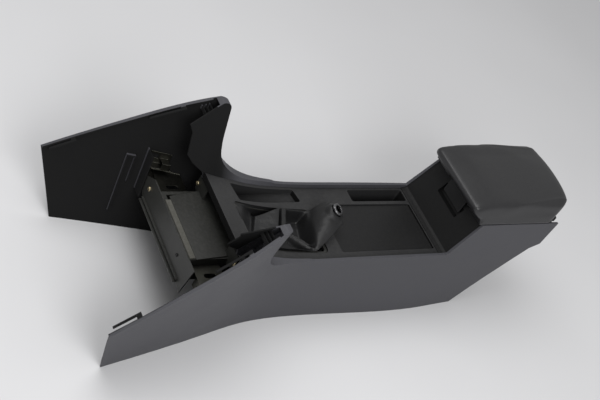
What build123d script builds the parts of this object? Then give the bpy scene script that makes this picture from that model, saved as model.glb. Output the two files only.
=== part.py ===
from build123d import *
import math
import os

# Car centre console: two flared side panels, a deck with pockets and a lever gaiter, a storage bin
# with a hinged armrest lid, and the carrier that stands between the front wings.
# Millimetres. +X runs to the rear of the car, +Y to its right side, +Z up.
# The origin is the middle of the footprint, on the floor plane.

os.makedirs("parts", exist_ok=True)

# Plan of the outer skin: stations along X, and the half width at each one, at the foot and at
# plan_top above it
plan_top = 360.0
station_x = (-575.0, -420.0, -277.0, -175.0, -73.0, 60.0, 190.0, 300.0, 380.0, 450.0, 575.0)
foot_half = (194.0, 165.0, 134.0, 112.0, 105.0, 108.0, 112.5, 110.5, 104.0, 99.5, 98.0)
head_half = (270.0, 222.0, 174.0, 126.0, 109.0, 104.0, 99.5, 98.5, 99.0, 100.0, 100.0)

# Side view of the panels
wing_foot_x = -507.0
wing_tip_x = -560.0
wing_tip_z = 160.0
wing_corner_r = 14.0
horn_x = -270.0
horn_z = 363.0
horn_rear_x = -254.0
nose_r = 9.0
nose_depth = 12.0
neck_x = -228.0
neck_z = 232.0
shoulder_z = 188.0
shoulder_start_x = -10.0
bin_foot_x = 261.0
bin_corner_x = 273.5
bin_slope_deg = 65.0
bin_bend_r = 26.0
rim_z = 279.5
rear_corner_z = 206.0
body_rear_x = 556.0
rear_knee_x = 532.0
rear_knee_z = 190.0
rear_foot_x = 410.0
skin = 3.0

# How far the cutting blocks reach past the part
far_x = 620.0
far_y = 300.0
far_z = 420.0

# Rim, hooks and ribs on the wings' inner faces
rim_width = 7.0
rim_thick = 3.0
hook_rear_x = (-513.0, -335.0)
hook_length = (36.0, 52.0)
hook_reach = 17.0
hook_strip = 5.0
hook_root = 7.0
horn_rib_x = (-298.0, -292.0, -286.0)
horn_rib_drop = 15.0
rib_x = -399.0
short_rib_x = -383.0
rib_low_z = 40.0
rib_high_z = 182.0
short_rib_low_z = 118.0
pillar_x = -362.0
pillar_low_z = 106.0
pillar_high_z = 206.0
pillar_depth = 28.0
rib_thick = 2.0
rib_depth = 7.0
screw_r = 1.75
screw_clear = 0.15
screw_head_r = 3.5
screw_head = 2.2
deck_screw_x = (-14.0, 92.0)
deck_screw_drop = 9.0

# Inner faces of the panels
lip_half = 99.0
lip_rear_half = 95.0
lip_height = 16.0
inner_lean = 0.42
horn_lean = 0.37
# front edge of the horn's inner face, from the top down, as (X, Z)
inner_face_edge = ((-337.0, 324.0), (-325.0, 303.0), (-325.0, 261.0), (-311.0, 246.0))

# Deck
deck_z = 178.0
deck_front_x = -277.0
deck_front_z = 227.0
deck_front_half = 95.0
deck_skin = 3.0
fit_gap = 0.5
rim_drop = 16.0

# Pockets, the lever opening and the tray recess in the deck
pocket_front_x = -207.0
pocket_rear_x = -38.0
pocket_front_near_y = 44.0
pocket_rear_near_y = 59.0
pocket_front_far_y = 88.0
pocket_rear_far_y = 92.5
pocket_floor_z = 166.0
pocket_corner_r = 5.0
slot_front_x = 101.0
slot_rear_x = 256.0
slot_mid_y = 76.0
slot_width = 33.0
slot_floor_z = 120.0
lever_front_x = -229.0
lever_rear_x = -30.0
lever_near_y = -78.0
lever_far_y = 38.0
lever_corner_r = 12.0
recess_front_x = 4.0
recess_rear_x = 257.0
recess_near_y = -78.0
recess_far_y = 51.0
recess_depth = 7.0
insert_gap = 1.2
insert_thick = 4.0
insert_sink = recess_depth - insert_thick

deck_rear_x = 260.5
frame_lap = 5.0
frame_ledge = 6.0
frame_thick = 3.0
gaiter_wall = 2.0
collar_x = 2.0
collar_y = -2.0
collar_z = 222.0
collar_r = 14.0

# Storage bin
bin_half = 94.0
bin_wall = 2.5
bin_front_x = 326.0
bin_floor_z = 150.0
bin_rear_x = 540.0
face_bead = 9.0
recess_half = 40.0
recess_low_z = 236.0
recess_high_z = 262.0
latch_recess_depth = 13.0
face_setback = 2.0
bin_rear_step_z = 258.0
bin_floor_rear_x = 480.0
hook_slot_length = 13.0
hook_slot_width = 22.0
floor_hole_x = 400.0
floor_hole_pitch = 100.0
floor_hole_r = 3.5
mat_thick = 2.0
bumper_y = 70.0
bumper_r = 3.5
rear_cover_top_z = 268.0

# Armrest lid
lid_bottom_z = 281.5
lid_front_x = 303.0
lip_front_x = 269.0
lip_low_z = 310.0
lip_top_z = 324.0
lid_mid_x = 386.0
lid_mid_z = 336.0
lid_rear_x = 560.0
lid_rear_z = 341.0
lid_half = 100.0
lid_top_half = 90.0
lid_front_r = 22.0
lid_rear_r = 44.0
lid_rear_bow = 9.0
lid_edge_r = 9.0
lid_crown = 5.0
lid_ridge_z = 336.0
base_inset = 4.0
base_thick = 8.0
hinge_x = 551.0
hinge_z = 282.0
pin_r = 2.0
knuckle_r = 4.5
running_gap = 0.05
bracket_half = 46.0
bracket_low_z = 250.0
bracket_top_z = 276.0
bracket_thick = 2.0
knuckle_inner = 30.0
leaf_front_x = 505.0
leaf_thick = 2.0
leaf_hole_x = 516.0
leaf_hole_y = 18.0
bracket_hole_y = 22.0
bracket_hole_z = 266.0
base_rib_pitch = 44.0
latch_x = 311.0
latch_z = 286.5
latch_pin_r = 1.5
paddle_half = 34.0
paddle_x = 306.5
paddle_low_z = 247.0
hook_x = 320.0
hook_low_z = 270.0

# Front carrier
carrier_rear_x = -246.0
carrier_near_y = -80.0
carrier_far_y = 90.0
carrier_low_z = 116.0
carrier_top_z = 177.0
carrier_wall = 2.5
top_plate = 3.0
plate_x = -359.0
plate_thick = 2.5
plate_near_y = -109.0
plate_far_y = 142.0
plate_low_z = 112.0
plate_top_z = 178.0
strip_rear_x = -344.0
strip_thick = 3.5
bracket_sheet = 2.0
bracket_shelf_z = 160.0
bracket_front_x = -345.0
bracket_rear_x = -285.0
stay_x = -273.5
stay_thick = 3.0
stay_half = 106.0
catch_front_x = -356.0
catch_rear_x = -314.0
catch_low_z = 174.0
catch_top_z = 202.0
brass_y = 122.0
brass_head_r = 5.0
stay_screw_y = 103.0
stay_screw_z = 188.0
carrier_screw_y = -45.0
bracket_screw_x = -315.0
brass_z = 149.0


deck_points = [
    (deck_front_x, deck_front_z),
    (neck_x, 210.0),
    (-175.0, 195.0),
    (-126.0, 186.0),
    (-75.0, 181.0),
    (shoulder_start_x, deck_z),
    (deck_rear_x, deck_z),
]
deck_half_points = [
    (deck_front_x, deck_front_half - fit_gap),
    (-252.0, deck_front_half + 1 - fit_gap),
    (neck_x, lip_half - 2 - fit_gap),
    (-200.0, lip_half - 1 - fit_gap),
    (-126.0, lip_half - 0.5 - fit_gap),
    (-75.0, lip_half - fit_gap),
    (deck_rear_x, lip_half - fit_gap),
]


def half_width(x_index, z):
    low = foot_half[x_index]
    return low + (head_half[x_index] - low) * z / plan_top


def inside_of_skin(inset):
    """The space on the right side from the centre plane out to the skin, less an inset."""
    low, high = -2.0, plan_top + 5.0
    with BuildPart() as space:
        for level in (low, high):
            with BuildSketch(Plane.XY.offset(level)):
                points = [(x, half_width(i, level) - inset) for i, x in enumerate(station_x)]
                with BuildLine():
                    Spline(*points)
                    Polyline(points[-1], (points[-1][0], -1.0), (points[0][0], -1.0), points[0])
                make_face()
        loft(ruled=True)
    return space.part


def between(x, points):
    """Straight-line value at x along a list of (x, value)."""
    for (x0, v0), (x1, v1) in zip(points[:-1], points[1:]):
        if x0 <= x <= x1:
            return v0 + (v1 - v0) * (x - x0) / (x1 - x0)
    return points[-1][1]


def deck_height(x):
    """Height of the deck's top."""
    return between(x, deck_points)


def deck_half(x):
    """Half width of the deck."""
    return between(x, deck_half_points)


core_low_z = 150.0


def inner_core(shift):
    """The space inside the horns and shoulders' inner faces, moved out by shift."""
    # station X, half width at the deck's edge, lean of the face, height that is cleared
    sections = (
        (inner_face_edge[0][0] - 15, deck_front_half, inner_lean, plan_top + 5),
        (deck_front_x, deck_front_half, inner_lean, plan_top + 5),
        (horn_rear_x + 2, deck_front_half + 1, horn_lean, plan_top + 5),
        (neck_x, lip_half - 2, 0.8, 310.0),
        (-200.0, lip_half - 1, 0.9, 260.0),
        (-165.0, lip_half - 1, 0.7, 235.0),
        (-126.0, lip_half - 0.5, 0.4, 225.0),
        (-75.0, lip_half, 0.15, 225.0),
        (0.0, lip_half, 0.0, 225.0),
    )
    with BuildPart() as core:
        for pair in zip(sections[:-1], sections[1:]):
            for x, half, lean, top in pair:
                level = deck_height(max(x, deck_front_x))
                with BuildSketch(Plane.YZ.offset(x)):
                    with BuildLine():
                        Polyline(
                            (-1.0, core_low_z),
                            (half + shift, core_low_z),
                            (half + shift, level),
                            (half + shift + lean * (top - level), top),
                            (-1.0, top),
                            close=True,
                        )
                    make_face()
            loft(ruled=True)
        with BuildSketch(Plane.XY.offset(-2)):
            with BuildLine():
                Polyline(
                    (0, -1.0),
                    (0, lip_half + shift),
                    (bin_foot_x, lip_half + shift),
                    (bin_front_x, lip_rear_half + shift),
                    (far_x, lip_rear_half + shift),
                    (far_x, -1.0),
                    close=True,
                )
            make_face()
        extrude(amount=plan_top)
    return core.part


wing_slope_deg = math.degrees(math.atan2(horn_z - wing_tip_z, horn_x - wing_tip_x))


def wing_edge_z(x):
    """Height of the wing's top edge."""
    return wing_tip_z + (x - wing_tip_x) * (horn_z - wing_tip_z) / (horn_x - wing_tip_x)


def slope_x(z, shift=0.0):
    """Where the sloping front of the bin's sides passes a height."""
    return bin_corner_x + shift + (z - shoulder_z) / math.tan(math.radians(bin_slope_deg))


def crest_curve(inset):
    """Side view of the horn's rear edge and the shoulder, set in by inset."""
    return Spline(
        (horn_rear_x - inset, 300.0),
        (neck_x - 0.7 * inset, neck_z - 0.7 * inset),
        (-175.0, 203.0 - inset),
        (-100.0, 193.0 - inset),
        (shoulder_start_x, shoulder_z - inset),
        tangents=((0, -1), (1, 0)),
    )


def side_profile():
    """What the outer skin keeps, seen from the side."""
    with BuildPart() as block:
        with BuildSketch(Plane.XZ) as face:
            with BuildLine():
                Polyline(
                    (wing_foot_x, 0),
                    (wing_tip_x, wing_tip_z),
                    (horn_x, horn_z),
                    (horn_rear_x, horn_z),
                    (horn_rear_x, 300.0),
                )
                crest_curve(0)
                Polyline(
                    (shoulder_start_x, shoulder_z),
                    (slope_x(shoulder_z), shoulder_z),
                    (slope_x(rim_z), rim_z),
                    (body_rear_x, rim_z),
                    (body_rear_x, rear_corner_z),
                    (rear_knee_x, rear_knee_z),
                    (rear_foot_x, 0),
                    (wing_foot_x, 0),
                )
            make_face()
            corners = face.vertices()
            fillet(corners.filter_by(lambda v: v.Y > horn_z - 1), nose_r)
            fillet(corners.filter_by(lambda v: abs(v.X - wing_tip_x) < 1), 5)
            fillet(corners.filter_by(lambda v: abs(v.X - wing_foot_x) < 1), wing_corner_r)
            fillet(corners.filter_by(lambda v: abs(v.X - slope_x(shoulder_z)) < 1), bin_bend_r)
            fillet(corners.filter_by(lambda v: abs(v.X - rear_knee_x) < 1), 16)
            fillet(corners.filter_by(lambda v: abs(v.Y - rear_corner_z) < 1), 9)
        extrude(amount=far_y, both=True)
    return block.part


def cavity_profile():
    """What is hollow between the skin and the inner face, seen from the side."""
    nose_front_x = horn_x - nose_depth
    with BuildPart() as block:
        with BuildSketch(Plane.XZ):
            with BuildLine():
                Polyline(
                    (-far_x, -10),
                    (-far_x, far_z),
                    (nose_front_x, far_z),
                    (nose_front_x, horn_z - skin - 3),
                    (horn_rear_x - skin, horn_z - skin - 3),
                    (horn_rear_x - skin, 300.0),
                )
                crest_curve(skin)
                Polyline(
                    (shoulder_start_x, shoulder_z - skin),
                    (slope_x(shoulder_z, skin), shoulder_z - skin),
                    (slope_x(rim_z - skin, skin), rim_z - skin),
                    (far_x, rim_z - skin),
                    (far_x, -10),
                    (-far_x, -10),
                )
            make_face()
        extrude(amount=far_y, both=True)
    return block.part


def below_lip_profile():
    """Where only the outer skin is left: under the lips and in front of the inner face."""
    with BuildPart() as block:
        with BuildSketch(Plane.XZ):
            with BuildLine():
                Polyline(
                    (-far_x, -10),
                    (-far_x, far_z),
                    (inner_face_edge[0][0], far_z),
                    *inner_face_edge,
                    (deck_front_x - 4, deck_front_z - 1),
                    (deck_front_x, deck_front_z - lip_height),
                )
                deck_curve(lip_height)
                Polyline(
                    (shoulder_start_x, deck_z - lip_height),
                    (bin_foot_x, deck_z - lip_height),
                    (slope_x(rim_z - lip_height, lip_height), rim_z - lip_height),
                    (far_x, rim_z - lip_height),
                    (far_x, -10),
                    (-far_x, -10),
                )
            make_face()
        extrude(amount=far_y, both=True)
    return block.part


def deck_curve(drop):
    """Side view of the deck's top from its front edge to the flat, lowered by drop."""
    return Spline(*[(x, z - drop) for x, z in deck_points[:-1]], tangents=((1, -0.42), (1, 0)))


# Side panels
outer_space = inside_of_skin(0)
inner_space = inside_of_skin(skin)
between_faces = inner_core(0)
behind_faces = inner_core(skin)
kept_side = side_profile()
hollow_side = cavity_profile()
under_lip = below_lip_profile()

with BuildPart() as panel_cavity:
    add(inner_space)
    add(behind_faces, mode=Mode.SUBTRACT)
    add(hollow_side, mode=Mode.INTERSECT)

with BuildPart() as panel_underside:
    add(inner_space)
    add(under_lip, mode=Mode.INTERSECT)


def wing_strip(low_x, high_x, thick):
    """A strip that follows the wing's top edge between two stations, seen from the side."""
    with BuildPart() as strip:
        with BuildSketch(Plane.XZ):
            with BuildLine():
                Polyline(
                    (low_x, wing_edge_z(low_x)),
                    (high_x, wing_edge_z(high_x)),
                    (high_x, wing_edge_z(high_x) - thick),
                    (low_x, wing_edge_z(low_x) - thick),
                    close=True,
                )
            make_face()
        extrude(amount=-far_y)
    return strip.part


# spaces at several depths from the skin, for what is moulded to it
rooted_space = inside_of_skin(skin - 0.5)
rib_inner_space = inside_of_skin(skin + rib_depth)
rim_inner_space = inside_of_skin(rim_width)
pillar_inner_space = inside_of_skin(skin + pillar_depth)
hook_outer_space = inside_of_skin(hook_reach - hook_strip)
hook_inner_space = inside_of_skin(hook_reach)

with BuildPart() as wing_ribs:
    with BuildSketch(Plane.XZ):
        with Locations((rib_x, (rib_low_z + rib_high_z) / 2)):
            Rectangle(rib_thick, rib_high_z - rib_low_z)
        with Locations((short_rib_x, (short_rib_low_z + rib_high_z) / 2)):
            Rectangle(rib_thick, rib_high_z - short_rib_low_z)
        with Locations(((rib_x + short_rib_x) / 2, rib_high_z)):
            Rectangle(short_rib_x - rib_x + rib_thick, rib_thick)
    extrude(amount=-far_y)
    add(rooted_space, mode=Mode.INTERSECT)
    add(rib_inner_space, mode=Mode.SUBTRACT)

with BuildPart() as wing_pillar:
    with BuildSketch(Plane.XZ):
        with Locations((pillar_x, (pillar_low_z + pillar_high_z) / 2)):
            Rectangle(rib_thick, pillar_high_z - pillar_low_z)
    extrude(amount=-far_y)
    add(rooted_space, mode=Mode.INTERSECT)
    add(pillar_inner_space, mode=Mode.SUBTRACT)

rim_strip = wing_strip(wing_tip_x + 2, horn_x - nose_depth - 2, rim_thick)
with BuildPart() as wing_rim:
    add(rooted_space)
    add(rim_strip, mode=Mode.INTERSECT)
    add(rim_inner_space, mode=Mode.SUBTRACT)

# hooks that stand in from the wing's edge, open at their front end
hook_strips = [
    wing_strip(x - length, x + hook_root, rim_thick) for x, length in zip(hook_rear_x, hook_length)
]
hook_roots = [wing_strip(x, x + hook_root, rim_thick) for x in hook_rear_x]
with BuildPart() as wing_hooks:
    for strip in hook_strips:
        add(strip)
    add(hook_outer_space, mode=Mode.INTERSECT)
    add(hook_inner_space, mode=Mode.SUBTRACT)
with BuildPart() as wing_hook_roots:
    for root in hook_roots:
        add(root)
    add(rooted_space, mode=Mode.INTERSECT)
    add(hook_inner_space, mode=Mode.SUBTRACT)

# three short ribs in the horn's mouth
with BuildPart() as horn_ribs:
    add(panel_cavity.part)
    with Locations(*[(x, 150, wing_edge_z(x) - horn_rib_drop) for x in horn_rib_x]):
        Box(rib_thick, 120, 8, mode=Mode.INTERSECT)

with BuildPart() as side_panel_right:
    add(outer_space)
    add(between_faces, mode=Mode.SUBTRACT)
    add(kept_side, mode=Mode.INTERSECT)
    add(panel_cavity.part, mode=Mode.SUBTRACT)
    add(panel_underside.part, mode=Mode.SUBTRACT)
    # deck screw holes in the lips
    with Locations(*[(x, lip_half, deck_height(x) - deck_screw_drop) for x in deck_screw_x]):
        Cylinder(screw_r + screw_clear, 6.4, rotation=(90, 0, 0), mode=Mode.SUBTRACT)
    # what is moulded to the wing's inner face
    add(wing_ribs.part)
    add(wing_pillar.part)
    add(wing_rim.part)
    add(wing_hook_roots.part)
    add(wing_hooks.part)
    add(horn_ribs.part)
side_panel_right.part.label = "side_panel_right"
export_step(side_panel_right.part, "parts/side_panel_right.step")

with BuildPart() as side_panel_left:
    add(mirror(side_panel_right.part, about=Plane.XZ, mode=Mode.PRIVATE))
side_panel_left.part.label = "side_panel_left"
export_step(side_panel_left.part, "parts/side_panel_left.step")

# Deck
def deck_band(top_drop, bottom_drop):
    """The layer between two depths under the deck's top, right across the car."""
    with BuildPart() as band:
        with BuildSketch(Plane.XZ):
            with BuildLine():
                deck_curve(top_drop)
                Polyline(
                    (shoulder_start_x, deck_z - top_drop),
                    (deck_rear_x, deck_z - top_drop),
                    (deck_rear_x, deck_z - bottom_drop),
                    (shoulder_start_x, deck_z - bottom_drop),
                )
                deck_curve(bottom_drop)
                Line(
                    (deck_front_x, deck_front_z - bottom_drop),
                    (deck_front_x, deck_front_z - top_drop),
                )
            make_face()
        extrude(amount=150, both=True)
    return band.part


def deck_outline(inset):
    """The deck's plan, between the panels' inner faces."""
    half_points = [(x, half - inset) for x, half in deck_half_points]
    half_points[0] = (deck_front_x + inset, half_points[0][1])
    half_points[-1] = (deck_rear_x - inset, half_points[-1][1])
    with BuildPart() as plan:
        with BuildSketch(Plane.XY.offset(100)):
            with BuildLine():
                Polyline(*half_points, *[(x, -y) for x, y in reversed(half_points)], close=True)
            make_face()
        extrude(amount=150)
    return plan.part


def opening(shape_plane, centre, length, width, corner, depth):
    """A rounded upright prism for the tub around an opening."""
    with BuildPart() as prism:
        with BuildSketch(shape_plane):
            with Locations(centre):
                RectangleRounded(length, width, corner)
        extrude(amount=depth)
    return prism.part


def pocket_prism(grow, floor_z):
    """The front pocket's upright outline, wider at its front end, grown by a wall."""
    with BuildPart() as prism:
        with BuildSketch(Plane.XY.offset(floor_z)) as outline:
            with BuildLine():
                Polyline(
                    (pocket_front_x - grow, pocket_front_near_y - grow),
                    (pocket_rear_x + grow, pocket_rear_near_y - grow),
                    (pocket_rear_x - 7 + grow, pocket_rear_far_y + grow),
                    (pocket_front_x - 7 - grow, pocket_front_far_y + grow),
                    close=True,
                )
            make_face()
            fillet(outline.vertices(), pocket_corner_r + grow)
        extrude(amount=100)
    return prism.part


slot_centre = ((slot_front_x + slot_rear_x) / 2, slot_mid_y)
slot_length = slot_rear_x - slot_front_x
lever_centre = ((lever_front_x + lever_rear_x) / 2, (lever_near_y + lever_far_y) / 2)
lever_length = lever_rear_x - lever_front_x
lever_width = lever_far_y - lever_near_y
recess_centre = ((recess_front_x + recess_rear_x) / 2, (recess_near_y + recess_far_y) / 2)
recess_length = recess_rear_x - recess_front_x
recess_width = recess_far_y - recess_near_y

deck_top_layer = deck_band(0, deck_skin)
deck_rim_layer = deck_band(0, rim_drop)
deck_plan = deck_outline(0)
deck_plan_inner = deck_outline(deck_skin)
under_deck = deck_band(0, 90)
pocket_tub = pocket_prism(deck_skin, pocket_floor_z - deck_skin)
pocket_space = pocket_prism(0, pocket_floor_z)
slot_tub = opening(
    Plane.XY.offset(slot_floor_z - deck_skin), slot_centre, slot_length + 2 * deck_skin,
    slot_width + 2 * deck_skin, pocket_corner_r + deck_skin, 100,
)
recess_tub = opening(
    Plane.XY.offset(deck_z - recess_depth - deck_skin), recess_centre, recess_length + 2 * deck_skin,
    recess_width + 2 * deck_skin, 6, 100,
)

with BuildPart() as deck_rim:
    add(deck_plan)
    add(deck_plan_inner, mode=Mode.SUBTRACT)
    add(deck_rim_layer, mode=Mode.INTERSECT)

with BuildPart() as deck_tubs:
    add(pocket_tub)
    add(slot_tub)
    add(recess_tub)
    add(under_deck, mode=Mode.INTERSECT)
    add(deck_plan, mode=Mode.INTERSECT)

with BuildPart() as deck_panel:
    add(deck_plan)
    add(deck_top_layer, mode=Mode.INTERSECT)
    add(deck_rim.part)
    add(deck_tubs.part)
    # the openings themselves
    add(pocket_space, mode=Mode.SUBTRACT)
    with BuildSketch(Plane.XY.offset(slot_floor_z)):
        with Locations(slot_centre):
            RectangleRounded(slot_length, slot_width, pocket_corner_r)
    extrude(amount=100, mode=Mode.SUBTRACT)
    with BuildSketch(Plane.XY.offset(100)):
        with Locations(lever_centre):
            RectangleRounded(lever_length, lever_width, lever_corner_r)
    extrude(amount=150, mode=Mode.SUBTRACT)
    with BuildSketch(Plane.XY.offset(deck_z - recess_depth)):
        with Locations(recess_centre):
            RectangleRounded(recess_length, recess_width, 4)
    extrude(amount=50, mode=Mode.SUBTRACT)
    # screw holes through the rim
    with Locations(*[(x, 0, deck_height(x) - deck_screw_drop) for x in deck_screw_x]):
        Cylinder(screw_r + screw_clear, 2 * lip_half + 10, rotation=(90, 0, 0), mode=Mode.SUBTRACT)
deck_panel.part.label = "deck_panel"
export_step(deck_panel.part, "parts/deck_panel.step")

with BuildPart() as tray_insert:
    with BuildSketch(Plane.XY.offset(deck_z - insert_sink - insert_thick)):
        with Locations(recess_centre):
            RectangleRounded(recess_length - 2 * insert_gap, recess_width - 2 * insert_gap, 3)
    extrude(amount=insert_thick)
    fillet(tray_insert.faces().sort_by(Axis.Z)[-1].edges(), 0.8)
tray_insert.part.label = "tray_insert"
export_step(tray_insert.part, "parts/tray_insert.step")


def pan_screw(length, head_r=screw_head_r):
    """A self-tapping screw with a domed head, its shank down from the origin."""
    with BuildPart() as screw:
        with BuildSketch():
            Circle(screw_r)
        extrude(amount=-length)
        with BuildSketch():
            Circle(head_r)
        extrude(amount=screw_head)
        fillet(screw.faces().sort_by(Axis.Z)[-1].edges(), 0.9)
        with BuildSketch(Plane.XY.offset(screw_head)):
            Rectangle(head_r, 0.8)
            Rectangle(0.8, head_r)
        extrude(amount=-1.0, mode=Mode.SUBTRACT)
    return screw.part


def placed(shape, spots):
    """Copies of a shape at a list of planes, as one group of separate solids."""
    return Compound(children=[spot.location * shape for spot in spots])


deck_screw = pan_screw(6.0)
deck_screws = placed(
    deck_screw,
    [
        Plane(
            origin=(x, side * (deck_half(x) - deck_skin - 0.05), deck_height(x) - deck_screw_drop),
            z_dir=(0, -side, 0),
        )
        for x in deck_screw_x
        for side in (-1, 1)
    ],
)
deck_screws.label = "deck_screws"
export_step(deck_screws, "parts/deck_screws.step")


# Lever gaiter
with BuildPart() as gaiter_frame_prism:
    with BuildSketch(Plane.XY.offset(100)):
        with Locations(lever_centre):
            RectangleRounded(lever_length + 2 * frame_lap, lever_width + 2 * frame_lap, lever_corner_r)
            RectangleRounded(
                lever_length - 2 * frame_ledge, lever_width - 2 * frame_ledge, lever_corner_r - 4,
                mode=Mode.SUBTRACT,
            )
    extrude(amount=150)
frame_layer = deck_band(deck_skin + 0.3, deck_skin + 0.3 + frame_thick)
pocket_keepout = pocket_prism(deck_skin + 0.5, 140)
with BuildPart() as gaiter_frame:
    add(gaiter_frame_prism.part)
    add(frame_layer, mode=Mode.INTERSECT)
    add(pocket_keepout, mode=Mode.SUBTRACT)
gaiter_frame.part.label = "gaiter_frame"
export_step(gaiter_frame.part, "parts/gaiter_frame.step")

collar_dir = Vector(0.32, -0.27, 0.91).normalized()
collar_centre = Vector(collar_x, collar_y, collar_z)
collar_plane = Plane(origin=collar_centre, x_dir=(0, 1, 0), z_dir=collar_dir)


def gaiter_space(shrink):
    """The sleeve from the hem in the deck up to the collar, less its wall."""
    hem_plane = Plane(
        origin=(lever_centre[0], lever_centre[1], 192.0), x_dir=(1, 0, -0.15), z_dir=(0.15, 0, 1)
    )
    with BuildPart() as sleeve:
        with BuildSketch(hem_plane.offset(-0.5 - shrink)):
            RectangleRounded(lever_length - 8 - 2 * shrink, lever_width - 8 - 2 * shrink, 14)
        with BuildSketch(Plane(origin=(-62, -14, 202), x_dir=(1, 0, -0.1), z_dir=(0.1, -0.1, 1))):
            RectangleRounded(104 - 2 * shrink, 78 - 2 * shrink, 22)
        with BuildSketch(collar_plane.offset(-14)):
            RectangleRounded(2 * collar_r + 10 - 2 * shrink, 2 * collar_r + 10 - 2 * shrink, collar_r)
        with BuildSketch(collar_plane.offset(shrink)):
            RectangleRounded(2 * collar_r - 2 * shrink, 2 * collar_r - 2 * shrink, collar_r - shrink - 0.5)
        loft(ruled=True)
    return sleeve.part


gaiter_outer = gaiter_space(0)
gaiter_inner = gaiter_space(gaiter_wall)
with BuildPart() as gaiter:
    add(gaiter_outer)
    add(gaiter_inner, mode=Mode.SUBTRACT)
gaiter.part.label = "gaiter"
export_step(gaiter.part, "parts/gaiter.step")

with BuildPart() as collar_ring:
    with BuildSketch(collar_plane.offset(0.3)):
        Circle(collar_r - 0.5)
        Circle(collar_r - 5, mode=Mode.SUBTRACT)
    extrude(amount=5)
    fillet(collar_ring.edges().filter_by(GeomType.CIRCLE).group_by(SortBy.RADIUS)[-1], 1.5)
collar_ring.part.label = "collar_ring"
export_step(collar_ring.part, "parts/collar_ring.step")


# Storage bin
def slope_line(offset, low_z, high_z):
    """Two points on the bin's sloping front, moved to the rear by offset."""
    return [(slope_x(z, face_setback + offset), z) for z in (low_z, high_z)]


bin_rim_z = rim_z - 1.0
face_top_x = slope_x(bin_rim_z, face_setback)
pan_high_z = recess_high_z + bin_wall
with BuildPart() as bin_plan:
    with BuildSketch(Plane.XY.offset(100)):
        with BuildLine():
            half_outline = [
                (bin_foot_x - 5, lip_half - fit_gap),
                (bin_foot_x, lip_half - fit_gap),
                (bin_front_x, lip_rear_half - fit_gap),
                (bin_rear_x, lip_rear_half - fit_gap),
            ]
            Polyline(*half_outline, *[(x, -y) for x, y in reversed(half_outline)], close=True)
        make_face()
    extrude(amount=200)

with BuildPart() as storage_bin:
    # tub
    with BuildSketch(Plane.XZ):
        with BuildLine():
            Polyline(
                (face_top_x, bin_rim_z),
                (bin_rear_x, bin_rim_z),
                (bin_rear_x, bin_rear_step_z),
                (bin_floor_rear_x + bin_wall, bin_floor_z - bin_wall),
                (bin_front_x - 8, bin_floor_z - bin_wall),
                (bin_front_x - 8, 240),
                close=True,
            )
        make_face()
    extrude(amount=bin_half, both=True)
    with BuildSketch(Plane.XZ):
        with BuildLine():
            Polyline(
                (bin_front_x, bin_rim_z + 5),
                (bin_rear_x - bin_wall, bin_rim_z + 5),
                (bin_rear_x - bin_wall, bin_rear_step_z),
                (bin_floor_rear_x, bin_floor_z),
                (bin_front_x - 5, bin_floor_z),
                close=True,
            )
        make_face()
    extrude(amount=bin_half - bin_wall, both=True, mode=Mode.SUBTRACT)
    # sloping front face with its bead along the deck
    with BuildSketch(Plane.XZ):
        with BuildLine():
            Polyline(
                (bin_foot_x, deck_z - 9),
                (bin_foot_x, deck_z + 1),
                (bin_foot_x + face_bead, deck_z + 4),
                *slope_line(0, deck_z + 8, bin_rim_z),
                *reversed(slope_line(bin_wall + 0.3, deck_z + 5, bin_rim_z)),
                (bin_foot_x + face_bead, deck_z + 1),
                (bin_foot_x + bin_wall, deck_z - 2),
                (bin_foot_x + bin_wall, deck_z - 9),
                close=True,
            )
        make_face()
    extrude(amount=lip_half, both=True)
    # finger recess in the face
    with BuildSketch(Plane.XZ):
        with BuildLine():
            Polyline(
                *slope_line(0.5, recess_low_z - bin_wall, pan_high_z),
                *reversed(slope_line(latch_recess_depth + bin_wall, recess_low_z - bin_wall, pan_high_z)),
                close=True,
            )
        make_face()
    extrude(amount=recess_half + bin_wall, both=True)
    with BuildSketch(Plane.XZ):
        with BuildLine():
            Polyline(
                *slope_line(-6, recess_low_z, recess_high_z),
                *reversed(slope_line(latch_recess_depth, recess_low_z, recess_high_z)),
                close=True,
            )
        make_face()
    extrude(amount=recess_half, both=True, mode=Mode.SUBTRACT)
    # slot that the latch hook drops into
    with Locations((hook_x, 0, recess_high_z)):
        Box(hook_slot_length, hook_slot_width, 40, mode=Mode.SUBTRACT)
    add(bin_plan.part, mode=Mode.INTERSECT)
    # fixing holes in the floor
    with Locations(*[(floor_hole_x, side * floor_hole_pitch / 2, bin_floor_z) for side in (-1, 1)]):
        Cylinder(floor_hole_r, 12, mode=Mode.SUBTRACT)
    # hinge bracket screw holes
    with Locations(*[(bin_rear_x, side * bracket_hole_y, bracket_hole_z) for side in (-1, 1)]):
        Cylinder(screw_r + screw_clear, 20, rotation=(0, 90, 0), mode=Mode.SUBTRACT)
storage_bin.part.label = "storage_bin"
export_step(storage_bin.part, "parts/storage_bin.step")

with BuildPart() as bin_mat:
    with BuildSketch(Plane.XY.offset(bin_floor_z)):
        with Locations(((bin_front_x + bin_floor_rear_x) / 2, 0)):
            RectangleRounded(bin_floor_rear_x - bin_front_x - 12, 2 * (bin_half - bin_wall) - 6, 8)
        with Locations((floor_hole_x, -floor_hole_pitch / 2), (floor_hole_x, floor_hole_pitch / 2)):
            Circle(floor_hole_r + 5, mode=Mode.SUBTRACT)
    extrude(amount=mat_thick)
bin_mat.part.label = "bin_mat"
export_step(bin_mat.part, "parts/bin_mat.step")

with BuildPart() as lid_bumpers:
    with Locations((face_top_x + 4, -bumper_y, bin_rim_z), (face_top_x + 4, bumper_y, bin_rim_z)):
        Cylinder(
            bumper_r, lid_bottom_z - bin_rim_z - 0.3, align=(Align.CENTER, Align.CENTER, Align.MIN)
        )
lid_bumpers.part.label = "lid_bumpers"
export_step(lid_bumpers.part, "parts/lid_bumpers.step")

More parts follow.
